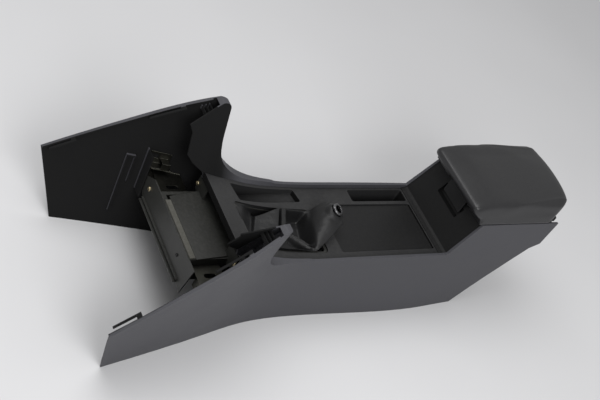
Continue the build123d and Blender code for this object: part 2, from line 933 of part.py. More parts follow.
with BuildPart() as rear_cover:
    with BuildSketch(Plane.XZ):
        with BuildLine():
            Polyline(
                (rear_foot_x - 3, 4),
                (rear_foot_x, 4),
                (rear_knee_x - 2, rear_knee_z),
                (body_rear_x - 1, rear_corner_z),
                (body_rear_x - 1, rear_cover_top_z),
                (body_rear_x - 3.5, rear_cover_top_z),
                (body_rear_x - 3.5, rear_corner_z + 1),
                (rear_knee_x - 5, rear_knee_z + 1),
                close=True,
            )
        make_face()
    extrude(amount=lip_rear_half - fit_gap, both=True)
    for level in (60, 110, 160):
        with Locations((rear_foot_x + (rear_knee_x - rear_foot_x) * level / rear_knee_z - 7, 0, level)):
            Box(8, 2 * lip_rear_half - 12, 2.5)
rear_cover.part.label = "rear_cover"
export_step(rear_cover.part, "parts/rear_cover.step")


# Armrest lid
def lid_block(inset, bottom):
    """The lid's outer form, taken in on every side by inset."""
    with BuildPart() as side:
        with BuildSketch(Plane.XZ):
            with BuildLine():
                Polyline(
                    (lid_front_x + inset, bottom),
                    (lid_front_x + inset, bottom + 8),
                    (lip_front_x + inset, lip_low_z + inset / 2),
                    (lip_front_x + inset + 1, lip_top_z - inset),
                )
                Spline(
                    (lip_front_x + inset + 1, lip_top_z - inset),
                    (lid_mid_x, lid_mid_z - inset),
                    (lid_rear_x - 14, lid_rear_z - inset),
                    tangents=((1, 0.35), (1, 0)),
                )
                Polyline(
                    (lid_rear_x - 14, lid_rear_z - inset),
                    (lid_rear_x - inset, lid_rear_z - 14 - inset),
                    (lid_rear_x - inset, lip_low_z),
                    (hinge_x + 5 - inset, bottom),
                    (lid_front_x + inset, bottom),
                )
            make_face()
        extrude(amount=lid_half + 10, both=True)
    with BuildPart() as plan:
        with BuildSketch(Plane.XY.offset(bottom)):
            with BuildLine():
                Polyline(
                    (lid_rear_x - lid_rear_bow - inset, -lid_half + inset),
                    (lip_front_x + inset, -lid_half + inset),
                    (lip_front_x + inset, lid_half - inset),
                    (lid_rear_x - lid_rear_bow - inset, lid_half - inset),
                )
                ThreePointArc(
                    (lid_rear_x - lid_rear_bow - inset, lid_half - inset),
                    (lid_rear_x - inset, 0),
                    (lid_rear_x - lid_rear_bow - inset, -lid_half + inset),
                )
            make_face()
        extrude(amount=100)
        upright = plan.edges().filter_by(Axis.Z)
        fillet(upright.group_by(Axis.X)[0], lid_front_r)
        fillet(plan.edges().filter_by(Axis.Z).group_by(Axis.X)[-1], lid_rear_r)
    with BuildPart() as across:
        with BuildSketch(Plane.YZ.offset(200)):
            with BuildLine():
                Polyline(
                    (-lid_top_half + inset, lid_ridge_z - inset),
                    (-lid_half + inset, bottom),
                    (lid_half - inset, bottom),
                    (lid_top_half - inset, lid_ridge_z - inset),
                )
                ThreePointArc(
                    (lid_top_half - inset, lid_ridge_z - inset),
                    (0, lid_ridge_z + lid_crown - inset),
                    (-lid_top_half + inset, lid_ridge_z - inset),
                )
            make_face()
        extrude(amount=400)
    return side.part & plan.part & across.part


lid_outer = lid_block(0, lid_bottom_z)
with BuildPart() as lid_base_blank:
    with BuildSketch(Plane.XY.offset(lid_bottom_z)):
        with BuildLine():
            Polyline(
                (lid_front_x + base_inset, -lid_half + base_inset + 2),
                (hinge_x - 2, -lid_half + base_inset + 2),
                (hinge_x - 2, lid_half - base_inset - 2),
                (lid_front_x + base_inset, lid_half - base_inset - 2),
                close=True,
            )
        make_face()
    extrude(amount=base_thick)
    fillet(lid_base_blank.edges().filter_by(Axis.Z), 8)

with BuildPart() as base_clearance:
    with BuildSketch(Plane.XY.offset(lid_bottom_z - 10)):
        with Locations(((lid_front_x + hinge_x - 2 + base_inset) / 2, 0)):
            RectangleRounded(
                hinge_x - 2 - lid_front_x - base_inset + 0.6, 2 * (lid_half - base_inset - 2) + 0.6, 8.3
            )
    extrude(amount=base_thick + 10)

with BuildPart() as armrest_pad:
    add(lid_outer)
    add(base_clearance.part, mode=Mode.SUBTRACT)
    # room for the knuckles
    with Locations((hinge_x, 0, hinge_z)):
        Cylinder(knuckle_r + 1.5, 2 * bracket_half + 4, rotation=(90, 0, 0), mode=Mode.SUBTRACT)
        Box(30, 2 * bracket_half + 4, 6, mode=Mode.SUBTRACT)
    # room for the latch
    with Locations((lid_front_x + base_inset, 0, lid_bottom_z)):
        Box(24, 2 * paddle_half + 14, 20, mode=Mode.SUBTRACT)
armrest_pad.part.label = "armrest_pad"
export_step(armrest_pad.part, "parts/armrest_pad.step")

with BuildPart() as lid_base:
    add(lid_base_blank.part)
    # ribbed from above
    with BuildSketch(Plane.XY.offset(lid_bottom_z + 2.5)):
        with Locations(((lid_front_x + leaf_front_x) / 2, 0)):
            with GridLocations(base_rib_pitch, base_rib_pitch, 3, 4):
                Rectangle(base_rib_pitch - 3, base_rib_pitch - 3)
    extrude(amount=base_thick, mode=Mode.SUBTRACT)
    # seat for the hinge leaf
    with Locations(((leaf_front_x + hinge_x) / 2, 0, lid_bottom_z)):
        Box(hinge_x - leaf_front_x + 0.6, 2 * bracket_half + 4, 2 * (leaf_thick + 0.4), mode=Mode.SUBTRACT)
    with Locations((hinge_x, 0, hinge_z)):
        Cylinder(knuckle_r + 1, 2 * bracket_half + 4, rotation=(90, 0, 0), mode=Mode.SUBTRACT)
    with Locations(*[(leaf_hole_x, side * leaf_hole_y, lid_bottom_z) for side in (-1, 1)]):
        Cylinder(screw_r + screw_clear, 16, mode=Mode.SUBTRACT)
    # latch opening and the ears for its pin
    with Locations((lid_front_x + base_inset + 2, 0, lid_bottom_z)):
        Box(34, 2 * paddle_half + 4, 40, mode=Mode.SUBTRACT)
    for side in (-1, 1):
        with BuildSketch(Plane.XZ.offset(side * (paddle_half + 2))):
            with Locations((latch_x, latch_z)):
                Circle(3.6)
            with Locations((latch_x + 7, latch_z - 1.5)):
                Rectangle(14, 4)
        extrude(amount=side * 3)
    with Locations((latch_x, 0, latch_z)):
        Cylinder(latch_pin_r + running_gap, 2 * lid_half, rotation=(90, 0, 0), mode=Mode.SUBTRACT)
lid_base.part.label = "lid_base"
export_step(lid_base.part, "parts/lid_base.step")


# Lid hinge
with BuildPart() as hinge_bracket:
    with BuildSketch(Plane.YZ.offset(bin_rear_x)):
        with Locations((0, (bracket_low_z + bracket_top_z) / 2)):
            RectangleRounded(2 * bracket_half, bracket_top_z - bracket_low_z, 4)
        with Locations((-bracket_hole_y, bracket_hole_z), (bracket_hole_y, bracket_hole_z)):
            Circle(screw_r + screw_clear, mode=Mode.SUBTRACT)
    extrude(amount=bracket_thick)
    for side in (-1, 1):
        with BuildSketch(Plane.XZ.offset(side * knuckle_inner)):
            with Locations((hinge_x, hinge_z)):
                Circle(knuckle_r)
            with BuildLine():
                Polyline(
                    (bin_rear_x, bracket_top_z - 10),
                    (bin_rear_x, bracket_top_z),
                    (hinge_x - knuckle_r, hinge_z),
                    (hinge_x + 1, hinge_z - knuckle_r),
                    close=True,
                )
            make_face()
        extrude(amount=side * (bracket_half - knuckle_inner))
    with Locations((hinge_x, 0, hinge_z)):
        Cylinder(pin_r, 2 * lid_half, rotation=(90, 0, 0), mode=Mode.SUBTRACT)
hinge_bracket.part.label = "hinge_bracket"
export_step(hinge_bracket.part, "parts/hinge_bracket.step")

with BuildPart() as hinge_leaf:
    with BuildSketch(Plane.XY.offset(lid_bottom_z)):
        with Locations(((leaf_front_x + hinge_x) / 2, 0)):
            Rectangle(hinge_x - leaf_front_x, 2 * (knuckle_inner - 0.5))
        with Locations((leaf_hole_x, -leaf_hole_y), (leaf_hole_x, leaf_hole_y)):
            Circle(screw_r + screw_clear, mode=Mode.SUBTRACT)
    extrude(amount=leaf_thick)
    with Locations((hinge_x, 0, hinge_z)):
        Cylinder(knuckle_r, 2 * (knuckle_inner - 0.5), rotation=(90, 0, 0))
        Cylinder(pin_r + running_gap, 2 * lid_half, rotation=(90, 0, 0), mode=Mode.SUBTRACT)
hinge_leaf.part.label = "hinge_leaf"
export_step(hinge_leaf.part, "parts/hinge_leaf.step")

with BuildPart() as hinge_pin:
    with BuildSketch(Plane.XZ.offset(-bracket_half)):
        with Locations((hinge_x, hinge_z)):
            Circle(pin_r)
    extrude(amount=2 * bracket_half)
    with BuildSketch(Plane.XZ.offset(bracket_half)):
        with Locations((hinge_x, hinge_z)):
            Circle(pin_r + 1)
    extrude(amount=1.2)
hinge_pin.part.label = "hinge_pin"
export_step(hinge_pin.part, "parts/hinge_pin.step")


# Lid latch
with BuildPart() as latch_lever:
    with BuildSketch(Plane.XZ):
        with Locations((latch_x, latch_z)):
            Circle(3.0)
        with BuildLine():
            Polyline(
                (latch_x - 3, latch_z),
                (paddle_x, latch_z - 6),
                (paddle_x - 1.5, paddle_low_z + 1),
                (paddle_x, paddle_low_z),
                (paddle_x + 2.5, paddle_low_z + 1),
                (paddle_x + 2.5, latch_z - 6),
                (latch_x + 2, latch_z - 2),
                close=True,
            )
        make_face()
    extrude(amount=paddle_half, both=True)
    with BuildSketch(Plane.XZ):
        with BuildLine():
            Polyline(
                (latch_x, latch_z + 1),
                (hook_x + 1, latch_z + 1),
                (hook_x + 1, hook_low_z),
                (hook_x - 1.5, hook_low_z),
                (hook_x - 1.5, latch_z - 2),
                (latch_x, latch_z - 2),
                close=True,
            )
        make_face()
    extrude(amount=hook_slot_width / 2 - 1.5, both=True)
    with Locations((latch_x, 0, latch_z)):
        Cylinder(latch_pin_r + running_gap, 2 * lid_half, rotation=(90, 0, 0), mode=Mode.SUBTRACT)
latch_lever.part.label = "latch_lever"
export_step(latch_lever.part, "parts/latch_lever.step")

with BuildPart() as latch_pin:
    with Locations((latch_x, 0, latch_z)):
        Cylinder(latch_pin_r, 2 * (paddle_half + 5), rotation=(90, 0, 0))
latch_pin.part.label = "latch_pin"
export_step(latch_pin.part, "parts/latch_pin.step")


# Hinge screws
bracket_screw = pan_screw(4.0)
bracket_screws = placed(
    bracket_screw,
    [
        Plane(origin=(bin_rear_x + bracket_thick + 0.05, y, bracket_hole_z), z_dir=(1, 0, 0))
        for y in (-bracket_hole_y, bracket_hole_y)
    ],
)
bracket_screws.label = "bracket_screws"
export_step(bracket_screws, "parts/bracket_screws.step")

leaf_screw = pan_screw(5.0)
leaf_screws = placed(
    leaf_screw,
    [
        Plane(origin=(leaf_hole_x, y, lid_bottom_z - 0.05), z_dir=(0, 0, -1))
        for y in (-leaf_hole_y, leaf_hole_y)
    ],
)
leaf_screws.label = "leaf_screws"
export_step(leaf_screws, "parts/leaf_screws.step")


# Front carrier
carrier_front_x = plate_x + plate_thick + 0.3
carrier_mid = ((carrier_front_x + carrier_rear_x) / 2, (carrier_near_y + carrier_far_y) / 2)
carrier_length = carrier_rear_x - carrier_front_x
carrier_width = carrier_far_y - carrier_near_y
with BuildPart() as front_carrier:
    with BuildSketch(Plane.XY.offset(carrier_low_z)):
        with Locations(carrier_mid):
            RectangleRounded(carrier_length, carrier_width, 4)
            RectangleRounded(
                carrier_length - 2 * carrier_wall, carrier_width - 2 * carrier_wall, 2, mode=Mode.SUBTRACT
            )
            with GridLocations(1, carrier_width / 4, 1, 3):
                Rectangle(carrier_length - carrier_wall, carrier_wall)
            with GridLocations(carrier_length / 3, 1, 2, 1):
                Rectangle(carrier_wall, carrier_width - carrier_wall)
    extrude(amount=carrier_top_z - carrier_low_z)
    # seat for the top plate
    with BuildSketch(Plane.XY.offset(carrier_top_z - 2)):
        with Locations(carrier_mid):
            Rectangle(carrier_length, carrier_width)
            Rectangle(carrier_length - 16, carrier_width - 16, mode=Mode.SUBTRACT)
    extrude(amount=2)
    # uprights that stand behind the deck's front rim
    for side in (-1, 1):
        with BuildSketch(Plane.YZ.offset(stay_x)):
            with BuildLine():
                Polyline(
                    (side * (stay_half - 40), carrier_top_z - 12),
                    (side * (stay_half - 18), carrier_top_z - 12),
                    (side * stay_half, carrier_top_z),
                    (side * stay_half, deck_front_z - lip_height - 3),
                    (side * (deck_front_half - 12), deck_front_z - lip_height - 3),
                    (side * (deck_front_half - 12), deck_front_z - 6),
                    (side * (stay_half - 40), deck_front_z - 6),
                    close=True,
                )
            make_face()
            with Locations((side * stay_screw_y, stay_screw_z)):
                Circle(screw_r + screw_clear, mode=Mode.SUBTRACT)
        extrude(amount=stay_thick)
    # holes for the screws of the cross plate and of the brackets
    with Locations((plate_x, carrier_screw_y, brass_z)):
        Cylinder(screw_r + screw_clear, 30, rotation=(0, 90, 0), mode=Mode.SUBTRACT)
    with Locations((bracket_screw_x, carrier_mid[1], bracket_shelf_z - 14)):
        Cylinder(screw_r + screw_clear, carrier_width + 20, rotation=(90, 0, 0), mode=Mode.SUBTRACT)
front_carrier.part.label = "front_carrier"
export_step(front_carrier.part, "parts/front_carrier.step")

with BuildPart() as carrier_top_plate:
    with BuildSketch(Plane.XY.offset(carrier_top_z)):
        with BuildLine():
            Polyline(
                (strip_rear_x + 0.5, carrier_near_y - 2),
                (carrier_rear_x, carrier_near_y + 6),
                (carrier_rear_x, carrier_far_y + 3),
                (strip_rear_x + 0.5, carrier_far_y - 14),
                close=True,
            )
        make_face()
        with Locations((stay_x + stay_thick / 2, 0)):
            Rectangle(stay_thick + 0.6, 2 * stay_half + 10, mode=Mode.SUBTRACT)
            Rectangle(stay_thick + 2, 2 * (stay_half - 41))
    extrude(amount=top_plate)
carrier_top_plate.part.label = "carrier_top_plate"
export_step(carrier_top_plate.part, "parts/carrier_top_plate.step")

with BuildPart() as carrier_strip:
    with BuildSketch(Plane.XY.offset(carrier_top_z)):
        with Locations(((carrier_front_x + strip_rear_x) / 2, -6)):
            Rectangle(strip_rear_x - carrier_front_x, 146)
    extrude(amount=strip_thick)
    chamfer(carrier_strip.faces().sort_by(Axis.Z)[-1].edges(), 0.8)
carrier_strip.part.label = "carrier_strip"
export_step(carrier_strip.part, "parts/carrier_strip.step")

with BuildPart() as cross_plate:
    with BuildSketch(Plane.YZ.offset(plate_x)):
        with BuildLine():
            Polyline(
                (plate_far_y, plate_low_z + 12),
                (plate_far_y - 14, plate_low_z),
                (plate_near_y + 28, plate_low_z),
                (plate_near_y + 8, plate_low_z - 8),
                (plate_near_y, plate_top_z),
                (plate_far_y - 23, plate_top_z),
                (plate_far_y + 10, plate_top_z - 22),
                close=True,
            )
        make_face()
        with Locations((carrier_screw_y, brass_z), (brass_y, brass_z)):
            Circle(screw_r + screw_clear, mode=Mode.SUBTRACT)
    extrude(amount=plate_thick)
    # double flange along the lower edge
    for level, reach in ((plate_low_z, 8.0), (plate_low_z + 6, 4.0)):
        with Locations((plate_x - reach / 2, (plate_near_y + plate_far_y + 14) / 2, level + 1)):
            Box(reach, plate_far_y - plate_near_y - 42, 2)
cross_plate.part.label = "cross_plate"
export_step(cross_plate.part, "parts/cross_plate.step")


# Brackets between the carrier and the wings
bracket_space = inside_of_skin(skin + 0.3)
bracket_inner_space = inside_of_skin(skin + 0.3 + bracket_sheet)


def carrier_bracket(inner_y):
    """A folded steel bracket from the carrier's wall out to the wing's bosses, for the right side."""
    mid_x = (bracket_front_x + bracket_rear_x) / 2
    length = bracket_rear_x - bracket_front_x
    with BuildPart() as wing_flange:
        with Locations((mid_x, 130, bracket_shelf_z - 12)):
            Box(length, 180, 24 + bracket_sheet)
        add(bracket_space, mode=Mode.INTERSECT)
        add(bracket_inner_space, mode=Mode.SUBTRACT)
    with BuildPart() as shelf:
        with BuildSketch(Plane.XY.offset(bracket_shelf_z - bracket_sheet)):
            with Locations((mid_x, (inner_y + 180) / 2)):
                Rectangle(length, 180 - inner_y)
            with Locations((mid_x, inner_y + 26)):
                SlotOverall(26, 10, mode=Mode.SUBTRACT)
        extrude(amount=bracket_sheet)
        add(bracket_space, mode=Mode.INTERSECT)
    with BuildPart() as bracket:
        add(shelf.part)
        add(wing_flange.part)
        # flange on the carrier's wall
        with Locations((mid_x, inner_y + bracket_sheet / 2, bracket_shelf_z - 13)):
            Box(length, bracket_sheet, 26)
        # front flange that takes the cross plate's end
        with BuildSketch(Plane.YZ.offset(bracket_front_x)):
            with Locations((brass_y, bracket_shelf_z - 12)):
                Rectangle(30, 24)
            with Locations((brass_y, brass_z)):
                Circle(screw_r + screw_clear, mode=Mode.SUBTRACT)
        extrude(amount=bracket_sheet)
        # screw holes
        with Locations((bracket_screw_x, inner_y, bracket_shelf_z - 14)):
            Cylinder(screw_r + screw_clear, 20, rotation=(90, 0, 0), mode=Mode.SUBTRACT)
    return bracket.part


bracket_right = carrier_bracket(carrier_far_y + 0.2)
bracket_right.label = "bracket_right"
export_step(bracket_right, "parts/bracket_right.step")

bracket_left = mirror(carrier_bracket(-carrier_near_y + 0.2), about=Plane.XZ)
bracket_left.label = "bracket_left"
export_step(bracket_left, "parts/bracket_left.step")


# Spring catches on the wings
catch_space = inside_of_skin(skin + 0.3)
catch_deep = inside_of_skin(skin + 18)
catch_deeper = inside_of_skin(skin + 16.5)
catch_foot = inside_of_skin(skin + 1.8)
with BuildPart() as catch_sheet:
    with BuildSketch(Plane.XZ):
        with Locations(((catch_front_x + catch_rear_x) / 2, (catch_low_z + catch_top_z) / 2)):
            Rectangle(catch_rear_x - catch_front_x, catch_top_z - catch_low_z)
            with Locations((-12, 4)):
                Rectangle(18, 10, mode=Mode.SUBTRACT)
    extrude(amount=-far_y)
    add(catch_space, mode=Mode.INTERSECT)
    add(catch_foot, mode=Mode.SUBTRACT)
with BuildPart() as catch_lip:
    with BuildSketch(Plane.XZ):
        with Locations(((catch_front_x + catch_rear_x) / 2, catch_low_z + 0.75)):
            Rectangle(catch_rear_x - catch_front_x, 1.5)
        with Locations(((catch_front_x + catch_rear_x) / 2 + 8, catch_low_z + 14)):
            Rectangle(catch_rear_x - catch_front_x - 26, 1.5)
    extrude(amount=-far_y)
    add(catch_space, mode=Mode.INTERSECT)
    add(catch_deep, mode=Mode.SUBTRACT)
with BuildPart() as catch_front:
    with BuildSketch(Plane.XZ):
        with Locations(((catch_front_x + catch_rear_x) / 2 + 8, catch_low_z + 7)):
            Rectangle(catch_rear_x - catch_front_x - 26, 15.5)
    extrude(amount=-far_y)
    add(catch_deeper, mode=Mode.INTERSECT)
    add(catch_deep, mode=Mode.SUBTRACT)
with BuildPart() as catch_right:
    add(catch_sheet.part)
    add(catch_lip.part)
    add(catch_front.part)
catch_right.part.label = "catch_right"
export_step(catch_right.part, "parts/catch_right.step")

with BuildPart() as catch_left:
    add(mirror(catch_right.part, about=Plane.XZ, mode=Mode.PRIVATE))
catch_left.part.label = "catch_left"
export_step(catch_left.part, "parts/catch_left.step")


# Brass screws at the front
brass_screw = pan_screw(6.0, brass_head_r)
brass_spots = [Plane(origin=(plate_x - 0.05, brass_y, brass_z), z_dir=(-1, 0, 0))]
brass_spots += [
    Plane(origin=(stay_x - 0.05, side * stay_screw_y, stay_screw_z), z_dir=(-1, 0, 0)) for side in (-1, 1)
]
brass_screws = placed(brass_screw, brass_spots)
brass_screws.label = "brass_screws"
export_step(brass_screws, "parts/brass_screws.step")

plate_screw = pan_screw(4.0)
plate_screws = placed(
    plate_screw, [Plane(origin=(plate_x - 0.05, carrier_screw_y, brass_z), z_dir=(-1, 0, 0))]
)
plate_screws.label = "plate_screw"
export_step(plate_screws, "parts/plate_screw.step")
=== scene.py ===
"""Looks of a car centre console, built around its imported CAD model."""

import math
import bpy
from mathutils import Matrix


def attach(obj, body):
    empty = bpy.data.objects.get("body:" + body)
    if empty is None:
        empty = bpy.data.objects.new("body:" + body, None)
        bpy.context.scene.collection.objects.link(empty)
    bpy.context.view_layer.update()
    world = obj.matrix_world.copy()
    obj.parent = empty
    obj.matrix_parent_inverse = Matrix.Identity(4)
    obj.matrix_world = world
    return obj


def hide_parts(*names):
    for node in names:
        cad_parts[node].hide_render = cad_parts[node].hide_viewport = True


bl_info = {
    "name": "Centre Console",
    "version": (1, 0, 0),
    "blender": (4, 5, 0),
    "location": "3D View > Sidebar > Console",
    "description": "Dresses the CAD model of a car centre console and builds its studio stage",
    "category": "Object",
}

import bpy
from mathutils import Vector, noise

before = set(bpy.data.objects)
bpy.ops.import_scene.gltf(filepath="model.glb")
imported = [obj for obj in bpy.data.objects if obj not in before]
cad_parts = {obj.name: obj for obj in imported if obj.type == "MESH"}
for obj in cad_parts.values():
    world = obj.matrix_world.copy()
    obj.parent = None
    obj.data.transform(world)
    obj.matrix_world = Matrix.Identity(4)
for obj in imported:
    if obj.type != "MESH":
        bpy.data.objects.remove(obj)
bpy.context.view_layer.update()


# Settings


class ConsoleColours(bpy.types.PropertyGroup):
    """Base colours of the console's finishes."""

    shell: bpy.props.FloatVectorProperty(
        name="Shell",
        description="Grained plastic of the two side panels",
        subtype="COLOR",
        size=3,
        min=0.0,
        max=1.0,
        default=(0.0560, 0.0560, 0.0630),
    )
    deck: bpy.props.FloatVectorProperty(
        name="Deck",
        description="Satin plastic of the deck, the tray cover and the bin",
        subtype="COLOR",
        size=3,
        min=0.0,
        max=1.0,
        default=(0.0235, 0.0235, 0.0241),
    )
    # Painted shade: hollow is the dark colour painted on the panels' inner faces and recessed places,
    # which lie in shade.
    hollow: bpy.props.FloatVectorProperty(
        name="Hollow",
        description="Raw plastic of the panels' inner faces",
        subtype="COLOR",
        size=3,
        min=0.0,
        max=1.0,
        default=(0.0034, 0.0034, 0.0036),
    )
    carrier: bpy.props.FloatVectorProperty(
        name="Carrier",
        description="Unpainted black plastic of the carrier between the wings",
        subtype="COLOR",
        size=3,
        min=0.0,
        max=1.0,
        default=(0.0205, 0.0208, 0.0185),
    )
    armrest: bpy.props.FloatVectorProperty(
        name="Armrest",
        description="Padded skin of the armrest lid",
        subtype="COLOR",
        size=3,
        min=0.0,
        max=1.0,
        default=(0.0148, 0.0148, 0.0160),
    )
    leather: bpy.props.FloatVectorProperty(
        name="Leather",
        description="Leather of the lever gaiter",
        subtype="COLOR",
        size=3,
        min=0.0,
        max=1.0,
        default=(0.0072, 0.0072, 0.0077),
    )
    zinc: bpy.props.FloatVectorProperty(
        name="Zinc",
        description="Dark plated sheet steel of the brackets, the catches and the hinge",
        subtype="COLOR",
        size=3,
        min=0.0,
        max=1.0,
        default=(0.060, 0.059, 0.050),
    )
    brass: bpy.props.FloatVectorProperty(
        name="Brass",
        description="Yellow passivated screws",
        subtype="COLOR",
        size=3,
        min=0.0,
        max=1.0,
        default=(0.85, 0.70, 0.42),
    )
    felt: bpy.props.FloatVectorProperty(
        name="Felt",
        description="Pale felt strip on the carrier's front edge",
        subtype="COLOR",
        size=3,
        min=0.0,
        max=1.0,
        default=(0.075, 0.073, 0.062),
    )


class GaiterSettings(bpy.types.PropertyGroup):
    """How the leather of the lever gaiter lies."""

    hollow_height: bpy.props.FloatProperty(
        name="Hollow height",
        description="Height of the deepest place of the leather, behind the slit",
        subtype="DISTANCE",
        unit="LENGTH",
        default=0.150,
    )
    plateau_height: bpy.props.FloatProperty(
        name="Plateau height",
        description="Height of the flat place in front of the slit",
        subtype="DISTANCE",
        unit="LENGTH",
        default=0.195,
    )
    top_height: bpy.props.FloatProperty(
        name="Top height",
        description="Height of the leather round the collar",
        subtype="DISTANCE",
        unit="LENGTH",
        default=0.2165,
    )
    skew: bpy.props.FloatProperty(
        name="Skew",
        description="How far the folds lean forwards for each metre towards the near side",
        default=0.46,
    )
    cut_hem: bpy.props.FloatProperty(
        name="Cut at the hem",
        description="Width of the flat leather along the opening's edge",
        subtype="DISTANCE",
        unit="LENGTH",
        default=0.600,
    )
    cut_collar: bpy.props.FloatProperty(
        name="Cut at the collar",
        description="Width of the flat leather along the collar, with its seam",
        subtype="DISTANCE",
        unit="LENGTH",
        default=0.100,
    )
    cut_height: bpy.props.FloatProperty(
        name="Cut height",
        description="Mean height of the flat leather, long in front of the lever and short behind it",
        subtype="DISTANCE",
        unit="LENGTH",
        default=0.150,
    )
    crease: bpy.props.FloatProperty(
        name="Crease depth",
        description="Depth of the small creases in the leather",
        subtype="DISTANCE",
        unit="LENGTH",
        default=0.0011,
    )


class StageSettings(bpy.types.PropertyGroup):
    """Floor, light and camera."""

    floor_colour: bpy.props.FloatVectorProperty(
        name="Floor colour",
        description="Pale cloth that the console lies on",
        subtype="COLOR",
        size=3,
        min=0.0,
        max=1.0,
        default=(0.64, 0.64, 0.65),
    )
    key_power: bpy.props.FloatProperty(
        name="Key light",
        description="Power of the large soft lamp at the near side",
        subtype="POWER",
        unit="POWER",
        min=0.0,
        default=62.0,
    )
    fill_strength: bpy.props.FloatProperty(
        name="Fill strength",
        description="Strength of the even light from all round",
        min=0.0,
        default=0.46,
    )
    camera_place: bpy.props.FloatVectorProperty(
        name="Camera place",
        description="Where the photograph was taken from",
        subtype="TRANSLATION",
        unit="LENGTH",
        size=3,
        default=(-1.3476, -1.1357, 1.5700),
    )
    camera_turn: bpy.props.FloatVectorProperty(
        name="Camera turn",
        description="Camera rotation about X, Y and Z",
        subtype="EULER",
        unit="ROTATION",
        size=3,
        default=(math.radians(46.787), math.radians(-25.774), math.radians(-25.300)),
    )
    camera_lens: bpy.props.FloatProperty(
        name="Focal length",
        description="Focal length on a 36 mm wide sensor",
        unit="CAMERA",
        min=1.0,
        default=64.42,
    )


# Shared effects


def group_with(name, inputs, outputs):
    """An empty shader node group with the named inputs and outputs, and its two end nodes."""
    group = bpy.data.node_groups.new(name, "ShaderNodeTree")
    for socket_name, kind, default in inputs:
        socket = group.interface.new_socket(socket_name, in_out="INPUT", socket_type=kind)
        socket.default_value = default
    for socket_name, kind in outputs:
        group.interface.new_socket(socket_name, in_out="OUTPUT", socket_type=kind)
    start = group.nodes.new("NodeGroupInput")
    end = group.nodes.new("NodeGroupOutput")
    return group, start, end


def grain_group():
    """Moulded grain: small cells as a height, and slow blotches as a tone from 0 to 1."""
    group, start, end = group_with(
        "Grain",
        [("Cells", "NodeSocketFloat", 900.0), ("Blotches", "NodeSocketFloat", 9.0)],
        [("Height", "NodeSocketFloat"), ("Tone", "NodeSocketFloat")],
    )
    nodes, links = group.nodes, group.links
    place = nodes.new("ShaderNodeTexCoord")
    cells = nodes.new("ShaderNodeTexVoronoi")
    cells.feature = "SMOOTH_F1"
    blotches = nodes.new("ShaderNodeTexNoise")
    blotches.inputs["Detail"].default_value = 4.0
    links.new(place.outputs["Object"], cells.inputs["Vector"])
    links.new(place.outputs["Object"], blotches.inputs["Vector"])
    links.new(start.outputs["Cells"], cells.inputs["Scale"])
    links.new(start.outputs["Blotches"], blotches.inputs["Scale"])
    links.new(cells.outputs["Distance"], end.inputs["Height"])
    links.new(blotches.outputs["Fac"], end.inputs["Tone"])
    return group


def edge_wear_group():
    """Rubbed edges: a mask that is 1 on sharp outer edges, and a normal that rounds them."""
    group, start, end = group_with(
        "EdgeWear",
        [("Radius", "NodeSocketFloat", 0.0012), ("Gain", "NodeSocketFloat", 6.0)],
        [("Mask", "NodeSocketFloat"), ("Normal", "NodeSocketVector")],
    )
    nodes, links = group.nodes, group.links
    rounded = nodes.new("ShaderNodeBevel")
    rounded.samples = 4
    surface = nodes.new("ShaderNodeNewGeometry")
    match = nodes.new("ShaderNodeVectorMath")
    match.operation = "DOT_PRODUCT"
    turn = nodes.new("ShaderNodeMath")
    turn.operation = "SUBTRACT"
    turn.inputs[0].default_value = 1.0
    gain = nodes.new("ShaderNodeMath")
    gain.operation = "MULTIPLY"
    gain.use_clamp = True
    links.new(start.outputs["Radius"], rounded.inputs["Radius"])
    links.new(rounded.outputs["Normal"], match.inputs[0])
    links.new(surface.outputs["Normal"], match.inputs[1])
    links.new(match.outputs["Value"], turn.inputs[1])
    links.new(turn.outputs["Value"], gain.inputs[0])
    links.new(start.outputs["Gain"], gain.inputs[1])
    links.new(gain.outputs["Value"], end.inputs["Mask"])
    links.new(rounded.outputs["Normal"], end.inputs["Normal"])
    return group


def dust_group():
    """Dust that settles on faces that look up, as a mask from 0 to 1."""
    group, start, end = group_with(
        "Dust",
        [("Amount", "NodeSocketFloat", 0.2), ("Specks", "NodeSocketFloat", 160.0)],
        [("Mask", "NodeSocketFloat")],
    )
    nodes, links = group.nodes, group.links
    surface = nodes.new("ShaderNodeNewGeometry")
    parts = nodes.new("ShaderNodeSeparateXYZ")
    place = nodes.new("ShaderNodeTexCoord")
    specks = nodes.new("ShaderNodeTexNoise")
    specks.inputs["Detail"].default_value = 6.0
    spread = nodes.new("ShaderNodeMapRange")
    spread.inputs["From Min"].default_value = 0.42
    spread.inputs["From Max"].default_value = 0.75
    upward = nodes.new("ShaderNodeMath")
    upward.operation = "MULTIPLY"
    upward.use_clamp = True
    scaled = nodes.new("ShaderNodeMath")
    scaled.operation = "MULTIPLY"
    scaled.use_clamp = True
    links.new(surface.outputs["Normal"], parts.inputs["Vector"])
    links.new(place.outputs["Object"], specks.inputs["Vector"])
    links.new(start.outputs["Specks"], specks.inputs["Scale"])
    links.new(specks.outputs["Fac"], spread.inputs["Value"])
    links.new(spread.outputs["Result"], upward.inputs[0])
    links.new(parts.outputs["Z"], upward.inputs[1])
    links.new(upward.outputs["Value"], scaled.inputs[0])
    links.new(start.outputs["Amount"], scaled.inputs[1])
    links.new(scaled.outputs["Value"], end.inputs["Mask"])
    return group


def math_node(tree, operation, *values, clamp=False):
    """A math node whose inputs are sockets or plain numbers. Returns its output."""
    node = tree.nodes.new("ShaderNodeMath")
    node.operation = operation
    node.use_clamp = clamp
    for socket, value in zip(node.inputs, values):
        if isinstance(value, bpy.types.NodeSocket):
            tree.links.new(value, socket)
        else:
            socket.default_value = value
    return node.outputs["Value"]


# How the wings' outer skin runs in the CAD model, in metres and in metres for each metre
WING_ROOT = -0.277
FOOT_HALF, FOOT_HALF_SLOPE = 0.134, -0.2013
LEAN, LEAN_SLOPE = 0.1111, -0.3356
WING_REAR = -0.2835
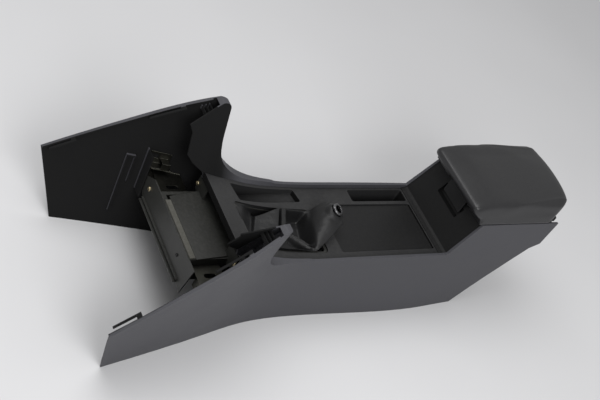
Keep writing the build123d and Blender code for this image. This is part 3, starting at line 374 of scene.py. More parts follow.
# The painted shade on the inner faces begins at about X -0.18 and is full at about X -0.23
SHADE_GAIN, SHADE_OFFSET = -18.0, -3.2


def inward_shade_group():
    """A mask for painted shade: 1 on the faces behind the panels' outer skin, which lie in shade.

    These are the faces near the front that look in to the centre plane, and all that stands
    further in than the wings' skin.
    """
    group, start, end = group_with(
        "InwardShade",
        [
            ("Start", "NodeSocketFloat", 0.1),
            ("Gain", "NodeSocketFloat", 4.0),
            ("Depth", "NodeSocketFloat", 0.005),
        ],
        [("Mask", "NodeSocketFloat")],
    )
    surface = group.nodes.new("ShaderNodeNewGeometry")
    place = group.nodes.new("ShaderNodeTexCoord")
    facing = group.nodes.new("ShaderNodeSeparateXYZ")
    spot = group.nodes.new("ShaderNodeSeparateXYZ")
    group.links.new(surface.outputs["Normal"], facing.inputs["Vector"])
    group.links.new(place.outputs["Object"], spot.inputs["Vector"])
    side = math_node(group, "SIGN", spot.outputs["Y"])
    outward = math_node(group, "MULTIPLY", facing.outputs["Y"], side)
    least = math_node(group, "MULTIPLY", start.outputs["Start"], -1.0)
    turned = math_node(group, "MULTIPLY_ADD", outward, -1.0, least)
    looks_in = math_node(group, "MULTIPLY", turned, start.outputs["Gain"], clamp=True)
    front = math_node(group, "MULTIPLY_ADD", spot.outputs["X"], SHADE_GAIN, SHADE_OFFSET, clamp=True)
    looks_in = math_node(group, "MULTIPLY", looks_in, front)
    # the wing's skin spreads with height and towards the front
    behind_root = math_node(group, "ADD", spot.outputs["X"], -WING_ROOT)
    foot = math_node(group, "MULTIPLY_ADD", behind_root, FOOT_HALF_SLOPE, FOOT_HALF)
    lean = math_node(group, "MULTIPLY_ADD", behind_root, LEAN_SLOPE, LEAN)
    skin_half = math_node(group, "MULTIPLY_ADD", spot.outputs["Z"], lean, foot)
    from_centre = math_node(group, "ABSOLUTE", spot.outputs["Y"])
    depth = math_node(group, "SUBTRACT", skin_half, from_centre)
    stands_in = math_node(group, "GREATER_THAN", depth, start.outputs["Depth"])
    on_wing = math_node(group, "LESS_THAN", spot.outputs["X"], WING_REAR)
    inside = math_node(group, "MULTIPLY", stands_in, on_wing)
    group.links.new(math_node(group, "MAXIMUM", looks_in, inside), end.inputs["Mask"])
    return group


DECK_SLOPE = 0.15  # how far the deck falls for each metre to the rear
DEEP_HEIGHT = 0.160  # at X 0, the height under which a place of the deck counts as deep
DEEP_GAIN = 45.0
FRONT_FACING = -0.75  # faces count that look further to the front than this, as -X of the normal


def front_edge_shade_group():
    """A mask for painted shade: 1 on faces that look to the front of the car, and deep under the deck's
    skin.
    """
    group, start, end = group_with(
        "FrontEdgeShade", [("Gain", "NodeSocketFloat", 5.0)], [("Mask", "NodeSocketFloat")]
    )
    surface = group.nodes.new("ShaderNodeNewGeometry")
    facing = group.nodes.new("ShaderNodeSeparateXYZ")
    group.links.new(surface.outputs["Normal"], facing.inputs["Vector"])
    turned = math_node(group, "MULTIPLY_ADD", facing.outputs["X"], -1.0, FRONT_FACING)
    upright = math_node(group, "MULTIPLY", turned, start.outputs["Gain"], clamp=True)
    place = group.nodes.new("ShaderNodeTexCoord")
    spot = group.nodes.new("ShaderNodeSeparateXYZ")
    group.links.new(place.outputs["Object"], spot.inputs["Vector"])
    slope = math_node(group, "MULTIPLY_ADD", spot.outputs["X"], -DECK_SLOPE, DEEP_HEIGHT)
    depth = math_node(group, "SUBTRACT", slope, spot.outputs["Z"])
    deep = math_node(group, "MULTIPLY", depth, DEEP_GAIN, clamp=True)
    group.links.new(math_node(group, "MAXIMUM", upright, deep), end.inputs["Mask"])
    return group


def effect(tree, name, values):
    """Places a shared effect in a material with its own values."""
    makers = {
        "Grain": grain_group,
        "EdgeWear": edge_wear_group,
        "Dust": dust_group,
        "InwardShade": inward_shade_group,
        "FrontEdgeShade": front_edge_shade_group,
    }
    group = bpy.data.node_groups.get(name) or makers[name]()
    node = tree.nodes.new("ShaderNodeGroup")
    node.node_tree = group
    for socket_name, value in values.items():
        node.inputs[socket_name].default_value = value
    return node


# Materials


def mixed(tree, low, high, factor):
    """A colour between two, by a mask. low is a socket or a plain colour."""
    mix = tree.nodes.new("ShaderNodeMix")
    mix.data_type = "RGBA"
    if isinstance(low, bpy.types.NodeSocket):
        tree.links.new(low, mix.inputs["A"])
    else:
        mix.inputs["A"].default_value = (*low, 1.0)
    mix.inputs["B"].default_value = (*high, 1.0)
    tree.links.new(factor, mix.inputs["Factor"])
    return mix.outputs["Result"]


def shaded(colour, factor):
    """The colour times a factor."""
    return tuple(min(1.0, channel * factor) for channel in colour)


INNER_ROUGHNESS = 0.85  # the faces under the painted shade, inner and recessed ones, are duller than the rest
RUBBED = 2.2  # how much lighter a rubbed edge is
DUST_COLOUR = (0.20, 0.195, 0.19)


def worn_surface(
    name,
    colour,
    roughness,
    cells=900.0,
    depth=0.00012,
    blotch=0.12,
    wear=0.5,
    dust=0.15,
    metal=0.0,
    roughness_spread=0.1,
    specular=0.5,
    inner=None,
    shade_mask="InwardShade",
):
    """A procedural finish: grain, blotches, rubbed edges and dust over one base colour, and painted
    shade where asked for.

    inner is the colour of the painted shade on the faces that the group named shade_mask picks out.
    """
    name = f"{name}_finish"
    found = bpy.data.materials.get(name)
    if found:
        return found
    material = bpy.data.materials.new(name)
    material.use_nodes = True
    tree = material.node_tree
    surface = tree.nodes["Principled BSDF"]
    surface.inputs["Metallic"].default_value = metal
    surface.inputs["Specular IOR Level"].default_value = specular
    grain = effect(tree, "Grain", {"Cells": cells})
    edges = effect(tree, "EdgeWear", {})
    dusty = effect(tree, "Dust", {"Amount": dust})
    toned = mixed(tree, shaded(colour, 1 - blotch), shaded(colour, 1 + blotch), grain.outputs["Tone"])
    rubbed_factor = math_node(tree, "MULTIPLY", edges.outputs["Mask"], wear)
    rubbed = mixed(tree, toned, shaded(colour, RUBBED), rubbed_factor)
    base_colour = mixed(tree, rubbed, DUST_COLOUR, dusty.outputs["Mask"])
    rough = tree.nodes.new("ShaderNodeMapRange")
    rough.inputs["To Min"].default_value = roughness - roughness_spread
    rough.inputs["To Max"].default_value = roughness + roughness_spread
    tree.links.new(grain.outputs["Tone"], rough.inputs["Value"])
    # Painted shade: the faces that the mask picks out get the dark inner colour, as they lie in shade.
    if inner:
        painted_shade = effect(tree, shade_mask, {})
        base_colour = mixed(tree, base_colour, inner, painted_shade.outputs["Mask"])
        dulled = tree.nodes.new("ShaderNodeMapRange")
        dulled.inputs["To Max"].default_value = INNER_ROUGHNESS
        tree.links.new(painted_shade.outputs["Mask"], dulled.inputs["Value"])
        tree.links.new(rough.outputs["Result"], dulled.inputs["To Min"])
        rough = dulled
    tree.links.new(base_colour, surface.inputs["Base Color"])
    tree.links.new(rough.outputs["Result"], surface.inputs["Roughness"])
    bump = tree.nodes.new("ShaderNodeBump")
    bump.inputs["Distance"].default_value = depth
    tree.links.new(grain.outputs["Height"], bump.inputs["Height"])
    tree.links.new(edges.outputs["Normal"], bump.inputs["Normal"])
    tree.links.new(bump.outputs["Normal"], surface.inputs["Normal"])
    return material


def colours():
    """The scene's colour settings."""
    return bpy.context.scene.console_colours


def shell_plastic():
    # The panels' inner faces get the hollow colour as painted shade.
    return worn_surface(
        "shell_plastic", colours().shell, 0.52, cells=700.0, depth=0.0002, dust=0.04,
        specular=0.28, inner=tuple(colours().hollow),
    )


def deck_plastic():
    # Faces that look to the front and places deep under the deck's skin get a darker copy of the hollow
    # colour as painted shade.
    return worn_surface(
        "deck_plastic", colours().deck, 0.48, cells=1100.0, dust=0.05, specular=0.25,
        inner=shaded(colours().hollow, 0.3), shade_mask="FrontEdgeShade",
    )


def shaded_tray_plastic():
    # Painted shade: a darker copy of the deck plastic for the tray cover, which lies low in its recess.
    return worn_surface(
        "shaded_tray_plastic", shaded(colours().deck, 0.46), 0.5, cells=1300.0, dust=0.02, specular=0.22,
    )


def bin_plastic():
    # Painted shade: a darker copy of the deck plastic, as the bin's face lies in shade.
    return worn_surface(
        "bin_plastic", shaded(colours().deck, 0.29), 0.50, cells=1100.0, dust=0.02, specular=0.2,
    )


def lever_plastic_painted_light():
    # Painted shade and highlight: a darker copy of the deck plastic for the lever's face in shade, and
    # strong edge wear that paints the highlight along its lip, partly real rubbing.
    return worn_surface(
        "lever_plastic_painted_light", shaded(colours().deck, 0.78), 0.5, cells=1100.0, wear=1.0, dust=0.02,
        specular=0.2,
    )


def carrier_plastic():
    return worn_surface("carrier_plastic", colours().carrier, 0.46, dust=0.07)


def armrest_skin():
    return worn_surface(
        "armrest_skin", colours().armrest, 0.36, cells=620.0, depth=0.0001, wear=0.15, dust=0.02,
    )


def gaiter_leather():
    return worn_surface(
        "gaiter_leather", colours().leather, 0.48, cells=420.0, depth=0.0003, wear=0.2, dust=0.0,
        specular=0.42,
    )


def rubber():
    return worn_surface("rubber_mat", shaded(colours().deck, 0.7), 0.75, cells=300.0, wear=0.0)


def zinc_steel():
    return worn_surface(
        "zinc_steel", colours().zinc, 0.38, cells=240.0, depth=0.00003, metal=1.0, blotch=0.25, wear=0.1,
    )


def black_steel():
    return worn_surface("dark_steel", (0.03, 0.03, 0.03), 0.4, cells=400.0, depth=0.00005, metal=1.0)


def brass_plate():
    return worn_surface(
        "brass_plate", colours().brass, 0.27, cells=300.0, depth=0.00004, metal=1.0, blotch=0.2,
    )


def chrome_trim():
    return worn_surface(
        "chrome_trim", (0.20, 0.20, 0.205), 0.30, cells=200.0, depth=0.00002, metal=1.0, blotch=0.05,
        wear=0.0, dust=0.02, roughness_spread=0.05,
    )


def felt():
    return worn_surface("felt_strip", colours().felt, 0.9, cells=1500.0, depth=0.0006, wear=0.0)


def dress(material, *node_names):
    """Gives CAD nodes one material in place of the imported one."""
    for name in node_names:
        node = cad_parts[name]
        node.data.materials.clear()
        node.data.materials.append(material)


# Soft pieces


def clamped(share):
    """The share, kept between 0 and 1."""
    return min(1.0, max(0.0, share))


def eased(share):
    """Smooth step from 0 to 1."""
    share = clamped(share)
    return share * share * (3 - 2 * share)


def rising(value, start, width):
    """Smooth step from 0 at a start to 1 a width further on."""
    return eased((value - start) / width)


def ridge(distance, width):
    """A round ridge: 1 on its line, and near 0 two widths away."""
    return math.exp(-((distance / width) ** 2))


def blended(height, target, weight):
    """The height, moved to a target by a weight from 0 to 1."""
    return height + weight * (target - height)


def along(points, share):
    """A point at a share of the length of a chain of points."""
    points = [Vector(point) for point in points]
    lengths = [(after - before).length for before, after in zip(points[:-1], points[1:])]
    left = share * sum(lengths)
    for before, after, length in zip(points[:-1], points[1:], lengths):
        if left <= length:
            return before.lerp(after, left / length)
        left -= length
    return points[-1]


def chain_height(value, chain, step=eased):
    """Height at a place along a chain of (place, height). step shapes the runs between them."""
    if value <= chain[0][0]:
        return chain[0][1]
    for (low, low_height), (high, high_height) in zip(chain[:-1], chain[1:]):
        if value <= high:
            return low_height + (high_height - low_height) * step((value - low) / (high - low))
    return chain[-1][1]


def apply_modifiers(piece):
    """Bakes a piece's modifiers into its mesh."""
    seen = piece.evaluated_get(bpy.context.evaluated_depsgraph_get())
    made = bpy.data.meshes.new_from_object(seen)
    made.name = piece.name
    piece.modifiers.clear()
    piece.data = made


def smooth(piece, iterations, group=""):
    """Smooths a piece's mesh, by a vertex group if one is named."""
    ease = piece.modifiers.new("ease", "SMOOTH")
    ease.factor = 0.5
    ease.iterations = iterations
    ease.vertex_group = group
    apply_modifiers(piece)


# The hem of the gaiter in plan, as the deck's opening runs
HEM_FRONT, HEM_REAR, HEM_NEAR, HEM_FAR = -0.225, -0.034, -0.074, 0.034
REAR_SKEW = 0.256  # how far the opening's rear edge leans back for each metre to the far side
HEM_PLACE, HEM_TOP = -0.1295, 0.1915  # one place along the hem, and its height there
# The leather's four edges in plan, the rear one where it lies over the deck
NEAR_REAR, FAR_REAR = (-0.062, -0.0755), (-0.009, 0.029)
NEAR_EDGE = ((HEM_FRONT, HEM_NEAR), NEAR_REAR)
FAR_EDGE = ((HEM_FRONT, HEM_FAR), (HEM_REAR, HEM_FAR), FAR_REAR)
FRONT_EDGE = ((HEM_FRONT, HEM_NEAR), (HEM_FRONT, HEM_FAR))
REAR_EDGE = (
    NEAR_REAR, (-0.020, -0.050), (0.015, -0.026), (0.021, -0.006), (0.014, 0.016), FAR_REAR,
)
# The collar and the hill under it. A fall is for each metre to the rear, a tilt to the far side.
COLLAR = Vector((0.002, -0.002))
COLLAR_HOLE = 0.0115
NECK_START, NECK_WIDTH = 0.011, 0.014
RING_HEIGHT, RING_FALL, RING_TILT = 0.2212, 0.352, 0.297
HILL_FOOT, HILL_FALL, HILL_TILT = 0.187, 0.12, 0.05
HILL_CLIMB = 0.085  # how far from the near hem the hill reaches its top
FLANK_PLACE, FLANK_SKEW, FLANK_PIVOT = -0.0370, 0.42, 0.020
FLANK_WIDTH, FLANK_CURVE = 0.046, 2.4
# The folds in front of it. A place across them is X, less the skew for each metre to the far side
# of the pivot.
FOLDS_PIVOT = 0.030
PLATEAU_FRONT, PLATEAU_REAR, PLATEAU_TILT = -0.173, -0.1145, 0.12
HOLLOW_FRONT = -0.100
GAP_HEIGHT = 0.168  # where the leather opens a gap beside or under a fold
# A place across the folds, and how far the gap at the far hem reaches in there
FAR_GAP = ((-0.176, 0.002), (-0.169, 0.021), (-0.113, 0.007), (-0.108, 0.002))
FAR_GAP_EDGE, FAR_GAP_LEAST, RIM_WIDTH = 0.0028, 0.003, 0.008
# The flap that runs down to the near hem, and its two ridges: offset, width and height
FLAP_TOP, FLAP_FOOT = Vector((-0.114, -0.028)), Vector((-0.062, -0.077))
FLAP_RIDGES = ((0.0, 0.0026, 0.1885), (-0.011, 0.0022, 0.184))
# Where it begins and ends, as shares of its length, and where the gap beside it begins
FLAP_START, FLAP_START_FADE, FLAP_END, FLAP_END_FADE = -0.10, 0.12, 1.02, 0.10
FLAP_SIDE, FLAP_SIDE_FADE = 0.002, 0.006
# Steps between one form and the next
CRISP, SLIT_EDGE, DECK_EDGE, OVER_RISE = 0.004, 0.003, 0.003, 0.016
OVER_DECK = 0.005  # how far the leather stands over the hem where it lies on the deck
OVER_RIM = 0.003
NEAR_REACH, FRONT_REACH = 0.008, 0.010  # how far from the hem the leather is held at its height
HEM_END, HEM_FADE = -0.045, 0.03  # where the hem lets the leather lean out over the deck
# The small creases: how often along X and Y, and the layer of the noise
COARSE_CREASES, FINE_CREASES, FINE_SHARE = (38, 60, 0.3), (90, 130, 1.7), 0.5
EDGE_CALM = 0.01  # the creases fade out over this distance from the far hem
TUCK_LIFT, TUCK_CURVE = 0.002, 0.7
SHEET_SMOOTHING = 3


def hem_height(x):
    """Height of the hem, just under the deck's skin."""
    return HEM_TOP - DECK_SLOPE * (x - HEM_PLACE)


def opening_rear(y):
    """X of the opening's rear edge, which leans back to the far side."""
    return HEM_REAR + REAR_SKEW * (y - HEM_FAR)


def fold_profile(settings):
    """Place across the folds and height of the leather, from the front hem to the hollow."""
    plateau, hollow = settings.plateau_height, settings.hollow_height
    return (
        # from the front hem down into the valley
        (-0.216, 0.2035),
        (-0.1740, 0.179),
        # the plateau
        (-0.1690, plateau - 0.006),
        (-0.1145, plateau + 0.002),
        # the slit
        (-0.1120, plateau - 0.020),
        (-0.1105, plateau - 0.020),
        # the lip behind the slit
        (-0.1080, plateau - 0.001),
        (-0.0985, plateau - 0.001),
        # the hollow
        (-0.0800, hollow + 0.004),
        (-0.0600, hollow),
        (-0.0400, hollow),
    )


def hill_height(x, y, settings):
    """Height of the hill that carries the collar."""
    top = settings.top_height - HILL_FALL * (x - COLLAR.x) + HILL_TILT * (y - COLLAR.y)
    climb = clamped((y - HEM_NEAR) / HILL_CLIMB)
    return HILL_FOOT + (top - HILL_FOOT) * (1 - (1 - climb) ** 2)


def flapped(height, place):
    """The height with the flap's ridges, and the gap under the flap."""
    flap_line = FLAP_FOOT - FLAP_TOP
    share = (place - FLAP_TOP).dot(flap_line) / flap_line.length_squared
    side = (place - FLAP_TOP).cross(flap_line.normalized())
    on_flap = rising(share, FLAP_START, FLAP_START_FADE) * (1 - rising(share, FLAP_END, FLAP_END_FADE))
    height = blended(height, GAP_HEIGHT, on_flap * rising(side, FLAP_SIDE, FLAP_SIDE_FADE))
    for offset, width, level in FLAP_RIDGES:
        height = blended(height, max(level, height), on_flap * ridge(side - offset, width))
    return height


def leather_height(x, y, settings):
    """Height of the fallen leather over a place in plan."""
    place = Vector((x, y))
    folds = x - settings.skew * (y - FOLDS_PIVOT)
    near_side, far_side = y - HEM_NEAR, HEM_FAR - y
    hem = hem_height(x)
    over = x - opening_rear(y)
    height = chain_height(folds, fold_profile(settings))
    on_plateau = rising(folds, PLATEAU_FRONT, CRISP) * (1 - rising(folds, PLATEAU_REAR, SLIT_EDGE))
    height += PLATEAU_TILT * y * on_plateau
    # the leather comes up before the opening's rear edge, and then climbs the hill to the collar
    height = blended(height, max(height, hem + OVER_DECK), rising(over, -OVER_RISE, OVER_RISE))
    flank = x - FLANK_PLACE - FLANK_SKEW * (y - FLANK_PIVOT)
    rise = 1 - (1 - clamped(flank / FLANK_WIDTH)) ** FLANK_CURVE
    height = blended(height, hill_height(x, y, settings), rise)
    neck = 1 - rising((place - COLLAR).length, NECK_START, NECK_WIDTH)
    ring = RING_HEIGHT - RING_FALL * (x - COLLAR.x) + RING_TILT * (y - COLLAR.y)
    height = blended(height, ring, neck)
    # the rim of the hollow stands up along its far side
    edge = chain_height(folds, FAR_GAP, step=float)
    stand = rising(folds, HOLLOW_FRONT, CRISP) * (1 - rise) * (1 - rising(far_side, edge, RIM_WIDTH))
    height = blended(height, max(hem + OVER_RIM, height), stand)
    # the gap between the far hem and the leather's crisp far edge
    gap = 1 - rising(far_side - edge, -FAR_GAP_EDGE, FAR_GAP_EDGE)
    gap *= rising(edge, FAR_GAP_LEAST, FAR_GAP_LEAST)
    height = blended(height, min(GAP_HEIGHT, height), gap)
    height = flapped(height, place)
    # the hem holds the leather all round, but not where it leans out over the deck
    held = 1 - rising(x, HEM_END, HEM_FADE)
    for distance, reach in ((far_side, CRISP), (near_side, NEAR_REACH), (x - HEM_FRONT, FRONT_REACH)):
        height = blended(height, hem, (1 - rising(distance, 0.0, reach)) * held)
    # behind the opening the leather lies over the deck
    if over > -DECK_EDGE:
        height = blended(height, max(height, hem + OVER_DECK), rising(over, -DECK_EDGE, DECK_EDGE))
    return height


def creases(x, y):
    """How far the small creases stand out at a place, as a share of their depth."""
    coarse, fine = (
        noise.noise(Vector((x * often_x, y * often_y, layer)))
        for often_x, often_y, layer in (COARSE_CREASES, FINE_CREASES)
    )
    return coarse + FINE_SHARE * fine


def corner_part(u, v):
    """The part of a four-edged patch that its corners give."""
    front = Vector(FRONT_EDGE[0]).lerp(Vector(FRONT_EDGE[-1]), v)
    rear = Vector(REAR_EDGE[0]).lerp(Vector(REAR_EDGE[-1]), v)
    return front.lerp(rear, u)


def fallen_gaiter(settings, long_count=150, wide_count=96, tuck_count=10):
    """The leather where it lies, as one sheet with a hole under the collar."""
    vertices, faces, outside = [], [], []
    for step in range(long_count + tuck_count + 1):
        u = min(1.0, step / long_count)
        tuck = max(0, step - long_count) / tuck_count
        near, far = along(NEAR_EDGE, u), along(FAR_EDGE, u)
        for number in range(wide_count + 1):
            v = number / wide_count
            front, rear = along(FRONT_EDGE, v), along(REAR_EDGE, v)
            place = near.lerp(far, v) + front.lerp(rear, u) - corner_part(u, v)
            x, y = place
            height = leather_height(x, y, settings)
            height += settings.crease * creases(x, y) * eased((HEM_FAR - y) / EDGE_CALM)
            # behind the collar the leather turns under itself, back to the opening
            x += (opening_rear(y) - x) * eased(tuck)
            height += (hem_height(x) + TUCK_LIFT - height) * tuck ** TUCK_CURVE
            vertices.append((x, y, height))
            outside.append((place - COLLAR).length > COLLAR_HOLE)
    row = wide_count + 1
    for step in range(long_count + tuck_count):
        for number in range(wide_count):
            corner = step * row + number
            face = (corner, corner + row, corner + row + 1, corner + 1)
            if all(outside[index] for index in face):
                faces.append(face)
    mesh = bpy.data.meshes.new("gaiter_leather")
    mesh.from_pydata(vertices, [], faces)
    for face in mesh.polygons:
        face.use_smooth = True
    sheet = bpy.data.objects.new("gaiter_leather", mesh)
    bpy.context.scene.collection.objects.link(sheet)
    smooth(sheet, SHEET_SMOOTHING)
    return sheet


def soft_copy(node_name, name, voxel):
    """A closed even mesh of a CAD solid, in the place of its node, to be shaped as a soft piece."""
    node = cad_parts[node_name]
    mesh = node.data.copy()
    mesh.transform(node.matrix_world)
    pad = bpy.data.objects.new(name, mesh)
    bpy.context.scene.collection.objects.link(pad)
    even = pad.modifiers.new("even", "REMESH")
    even.mode = "VOXEL"
    even.voxel_size = voxel
    even.use_smooth_shade = True
    apply_modifiers(pad)
    return pad


PAD_VOXEL = 0.003
PAD_SMOOTHING = 48
# The smoothing starts over the pad's foot, and higher over the notch round the hinge bracket
PAD_FOOT, NOTCH_FOOT, FOOT_FADE = 0.286, 0.294, 0.012
NOTCH_FRONT, NOTCH_HALF = 0.53, 0.055
PAD_FRONT, PAD_HALF = 0.270, 0.100
RAISED_START, RAISED_WIDTH = 0.296, 0.026
CROWN, CROWN_WIDTH = 0.005, 0.060
BOW, BOW_START, BOW_WIDTH = 0.011, 0.500, 0.055
# The crease that runs in from each side edge, with a ridge along it and a slope outside it
CREASE_INSET, CREASE_START, CREASE_LENGTH = 0.022, 0.335, 0.185
RIDGE_WIDTH, RIDGE_START, RIDGE_FADE = 0.004, 0.320, 0.020
RIDGE_HEIGHT, RIDGE_LOSS, LOSS_START, LOSS_WIDTH = 0.0034, 0.0022, 0.36, 0.12
NEAR_SLOPE, FAR_SLOPE = 0.42, 0.05
FAR_LIFT, FAR_LIFT_START, FAR_LIFT_WIDTH, FAR_LIFT_FRONT = 0.002, 0.05, 0.03, 0.300
# The crease that goes on down the side at the front corner
CORNER_HEIGHT, CORNER_SLOPE, CORNER_WIDTH = 0.331, 0.20, 0.003
CORNER_OUT, CORNER_END, CORNER_FADE = 0.0012, 0.330, 0.015
CORNER_SIDE, CORNER_SIDE_FADE = 0.002, 0.004


def roundness(x, y, z):
    """How much the smoothing rounds the armrest's padding at a place."""
    in_notch = x > NOTCH_FRONT and abs(y) < NOTCH_HALF
    return clamped((z - (NOTCH_FOOT if in_notch else PAD_FOOT)) / FOOT_FADE)


def cushion_form(x, y, z):
    """How far the armrest's padding stands out at a place: crown, creases and a bowed rear."""
    raised = rising(z, RAISED_START, RAISED_WIDTH)
    across = max(0.0, 1 - (y / PAD_HALF) ** 2)
    from_side = PAD_HALF - abs(y)
    crease = CREASE_INSET * clamped((x - CREASE_START) / CREASE_LENGTH)
    up = CROWN * across * rising(x, PAD_FRONT, CROWN_WIDTH)
    strong = RIDGE_HEIGHT - RIDGE_LOSS * rising(x, LOSS_START, LOSS_WIDTH)
    up += strong * ridge(from_side - crease, RIDGE_WIDTH) * rising(x, RIDGE_START, RIDGE_FADE)
    up -= (NEAR_SLOPE if y < 0 else FAR_SLOPE) * max(0.0, crease - from_side)
    far = rising(y, FAR_LIFT_START, FAR_LIFT_WIDTH)
    up += FAR_LIFT * far * rising(x, FAR_LIFT_FRONT, CROWN_WIDTH)
    back = BOW * across * rising(x, BOW_START, BOW_WIDTH)
    side_crease = CORNER_HEIGHT - CORNER_SLOPE * (CREASE_START - x)
    on_corner = 1 - rising(x, CORNER_END, CORNER_FADE)
    on_corner *= 1 - rising(from_side, CORNER_SIDE, CORNER_SIDE_FADE)
    out = on_corner * CORNER_OUT * ridge(z - side_crease, CORNER_WIDTH)
    return Vector((back * raised, math.copysign(out, y), up * raised))


# Pieces


class BuildOperator:
    """What the console's operators share."""

    bl_options = {"REGISTER", "UNDO"}

    @classmethod
    def poll(cls, context):
        return context.mode == "OBJECT"


class CONSOLE_OT_side_panels(BuildOperator, bpy.types.Operator):
    """Dress the two side panels and the rear cover"""

    bl_idname = "console.side_panels"
    bl_label = "Side Panels"

    def execute(self, context):
        dress(shell_plastic(), "side_panel_right", "side_panel_left")
        dress(deck_plastic(), "rear_cover")
        return {"FINISHED"}


class CONSOLE_OT_deck(BuildOperator, bpy.types.Operator):
    """Dress the deck and the tray insert"""

    bl_idname = "console.deck"
    bl_label = "Deck"

    def execute(self, context):
        dress(deck_plastic(), "deck_panel")
        dress(shaded_tray_plastic(), "tray_insert")
        dress(black_steel(), "deck_screws")
        return {"FINISHED"}


class CONSOLE_OT_gaiter(BuildOperator, bpy.types.Operator):
    """Build the folded leather gaiter, and dress its frame and collar"""

    bl_idname = "console.gaiter"
    bl_label = "Lever Gaiter"

    def execute(self, context):
        dress(carrier_plastic(), "gaiter_frame")
        dress(chrome_trim(), "collar_ring")
        settings = context.scene.console_gaiter
        sleeve = fallen_gaiter(settings)
        sleeve.data.materials.append(gaiter_leather())
        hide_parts("gaiter")
        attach(sleeve, "console")
        return {"FINISHED"}


class CONSOLE_OT_storage_bin(BuildOperator, bpy.types.Operator):
    """Dress the storage bin, its mat and its bumpers"""

    bl_idname = "console.storage_bin"
    bl_label = "Storage Bin"

    def execute(self, context):
        dress(bin_plastic(), "storage_bin")
        dress(rubber(), "bin_mat", "lid_bumpers")
        return {"FINISHED"}


class CONSOLE_OT_armrest(BuildOperator, bpy.types.Operator):
    """Dress the armrest lid, its hinge and its latch"""

    bl_idname = "console.armrest"
    bl_label = "Armrest Lid"

    def execute(self, context):
        pad = soft_copy("armrest_pad", "armrest_cushion", PAD_VOXEL)
        rounded = pad.vertex_groups.new(name="rounded")
        for vertex in pad.data.vertices:
            rounded.add([vertex.index], roundness(*vertex.co), "REPLACE")
        smooth(pad, PAD_SMOOTHING, "rounded")
        for vertex in pad.data.vertices:
            vertex.co += cushion_form(*vertex.co)
        pad.data.materials.clear()
        pad.data.materials.append(armrest_skin())
        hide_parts("armrest_pad")
        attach(pad, "lid")
        dress(bin_plastic(), "lid_base")
        dress(lever_plastic_painted_light(), "latch_lever")
        dress(zinc_steel(), "hinge_bracket", "hinge_leaf", "hinge_pin", "latch_pin")
        dress(black_steel(), "bracket_screws", "leaf_screws")
        return {"FINISHED"}


class CONSOLE_OT_front_carrier(BuildOperator, bpy.types.Operator):
    """Dress the carrier between the wings, its brackets and catches, and their screws"""

    bl_idname = "console.front_carrier"
    bl_label = "Front Carrier"

    def execute(self, context):
        dress(carrier_plastic(), "front_carrier", "carrier_top_plate", "cross_plate")
        dress(felt(), "carrier_strip")
        dress(zinc_steel(), "bracket_right", "bracket_left", "catch_right", "catch_left")
        dress(black_steel(), "plate_screw")
        dress(brass_plate(), "brass_screws")
        return {"FINISHED"}


# Stage


FLOOR_REACH = 9.0
# Name, place, size, and share of the key light's power
LAMPS = (
    ("key_lamp", (-0.8, -2.4, 2.2), 1.6, 1.0),
    ("top_lamp", (-0.7, 0.5, 2.8), 2.0, 0.6),
)


def floor_material(colour):
    """A dull cloth with slow, faint changes of tone."""
    material = bpy.data.materials.new("floor_cloth")
    material.use_nodes = True
    tree = material.node_tree
    surface = tree.nodes["Principled BSDF"]
    surface.inputs["Roughness"].default_value = 0.95
    surface.inputs["Specular IOR Level"].default_value = 0.1
    place = tree.nodes.new("ShaderNodeTexCoord")
    folds = tree.nodes.new("ShaderNodeTexNoise")
    folds.inputs["Scale"].default_value = 1.6
    tree.links.new(place.outputs["Object"], folds.inputs["Vector"])
    toned = mixed(tree, shaded(colour, 0.96), shaded(colour, 1.04), folds.outputs["Fac"])
    tree.links.new(toned, surface.inputs["Base Color"])
    return material


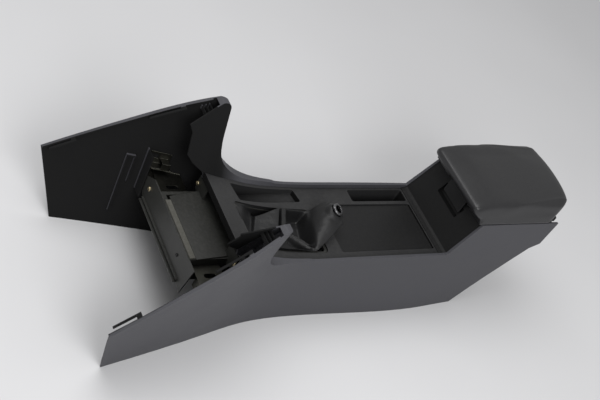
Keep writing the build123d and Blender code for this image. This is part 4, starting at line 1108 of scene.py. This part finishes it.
class CONSOLE_OT_stage(BuildOperator, bpy.types.Operator):
    """Build the pale floor, the soft lamps and the camera"""

    bl_idname = "console.stage"
    bl_label = "Stage"

    def execute(self, context):
        scene = context.scene
        settings = scene.console_stage
        mesh = bpy.data.meshes.new("floor")
        signs = [(-1, -1), (1, -1), (1, 1), (-1, 1)]
        corners = [(x * FLOOR_REACH, y * FLOOR_REACH, 0.0) for x, y in signs]
        mesh.from_pydata(corners, [], [(0, 1, 2, 3)])
        floor = bpy.data.objects.new("floor", mesh)
        scene.collection.objects.link(floor)
        mesh.materials.append(floor_material(settings.floor_colour))

        world = bpy.data.worlds.new("soft_room")
        world.use_nodes = True
        backdrop = world.node_tree.nodes["Background"]
        backdrop.inputs["Color"].default_value = (1.0, 1.0, 1.0, 1.0)
        backdrop.inputs["Strength"].default_value = settings.fill_strength
        scene.world = world

        for name, place, size, share in LAMPS:
            lamp = bpy.data.lights.new(name, "AREA")
            lamp.size = size
            lamp.energy = settings.key_power * share
            holder = bpy.data.objects.new(name, lamp)
            holder.location = place
            holder.rotation_euler = (-Vector(place)).to_track_quat("-Z", "Y").to_euler()
            scene.collection.objects.link(holder)

        camera = bpy.data.cameras.new("camera")
        camera.sensor_width = 36.0
        camera.lens = settings.camera_lens
        camera.clip_end = 50.0
        eye = bpy.data.objects.new("camera", camera)
        eye.location = settings.camera_place
        eye.rotation_euler = settings.camera_turn
        scene.collection.objects.link(eye)
        scene.camera = eye
        scene.view_settings.view_transform = "Standard"
        return {"FINISHED"}


class CONSOLE_PT_build(bpy.types.Panel):
    """Buttons that build the console's looks"""

    bl_idname = "CONSOLE_PT_build"
    bl_label = "Centre Console"
    bl_space_type = "VIEW_3D"
    bl_region_type = "UI"
    bl_category = "Console"

    def draw(self, context):
        for operator in OPERATORS:
            self.layout.operator(operator.bl_idname)
        scene = context.scene
        for settings in (scene.console_colours, scene.console_gaiter, scene.console_stage):
            box = self.layout.box()
            for name in settings.__annotations__:
                box.prop(settings, name)


OPERATORS = (
    CONSOLE_OT_side_panels,
    CONSOLE_OT_deck,
    CONSOLE_OT_gaiter,
    CONSOLE_OT_storage_bin,
    CONSOLE_OT_armrest,
    CONSOLE_OT_front_carrier,
    CONSOLE_OT_stage,
)
CLASSES = (ConsoleColours, GaiterSettings, StageSettings, *OPERATORS, CONSOLE_PT_build)


def register():
    for cls in CLASSES:
        bpy.utils.register_class(cls)
    bpy.types.Scene.console_colours = bpy.props.PointerProperty(type=ConsoleColours)
    bpy.types.Scene.console_gaiter = bpy.props.PointerProperty(type=GaiterSettings)
    bpy.types.Scene.console_stage = bpy.props.PointerProperty(type=StageSettings)


def unregister():
    del bpy.types.Scene.console_stage
    del bpy.types.Scene.console_gaiter
    del bpy.types.Scene.console_colours
    for cls in reversed(CLASSES):
        bpy.utils.unregister_class(cls)


def main():
    register()
    bpy.ops.console.side_panels()
    bpy.ops.console.deck()
    bpy.ops.console.gaiter()
    bpy.ops.console.storage_bin()
    bpy.ops.console.armrest()
    bpy.ops.console.front_carrier()
    bpy.ops.console.stage()


if __name__ == "__main__":
    main()
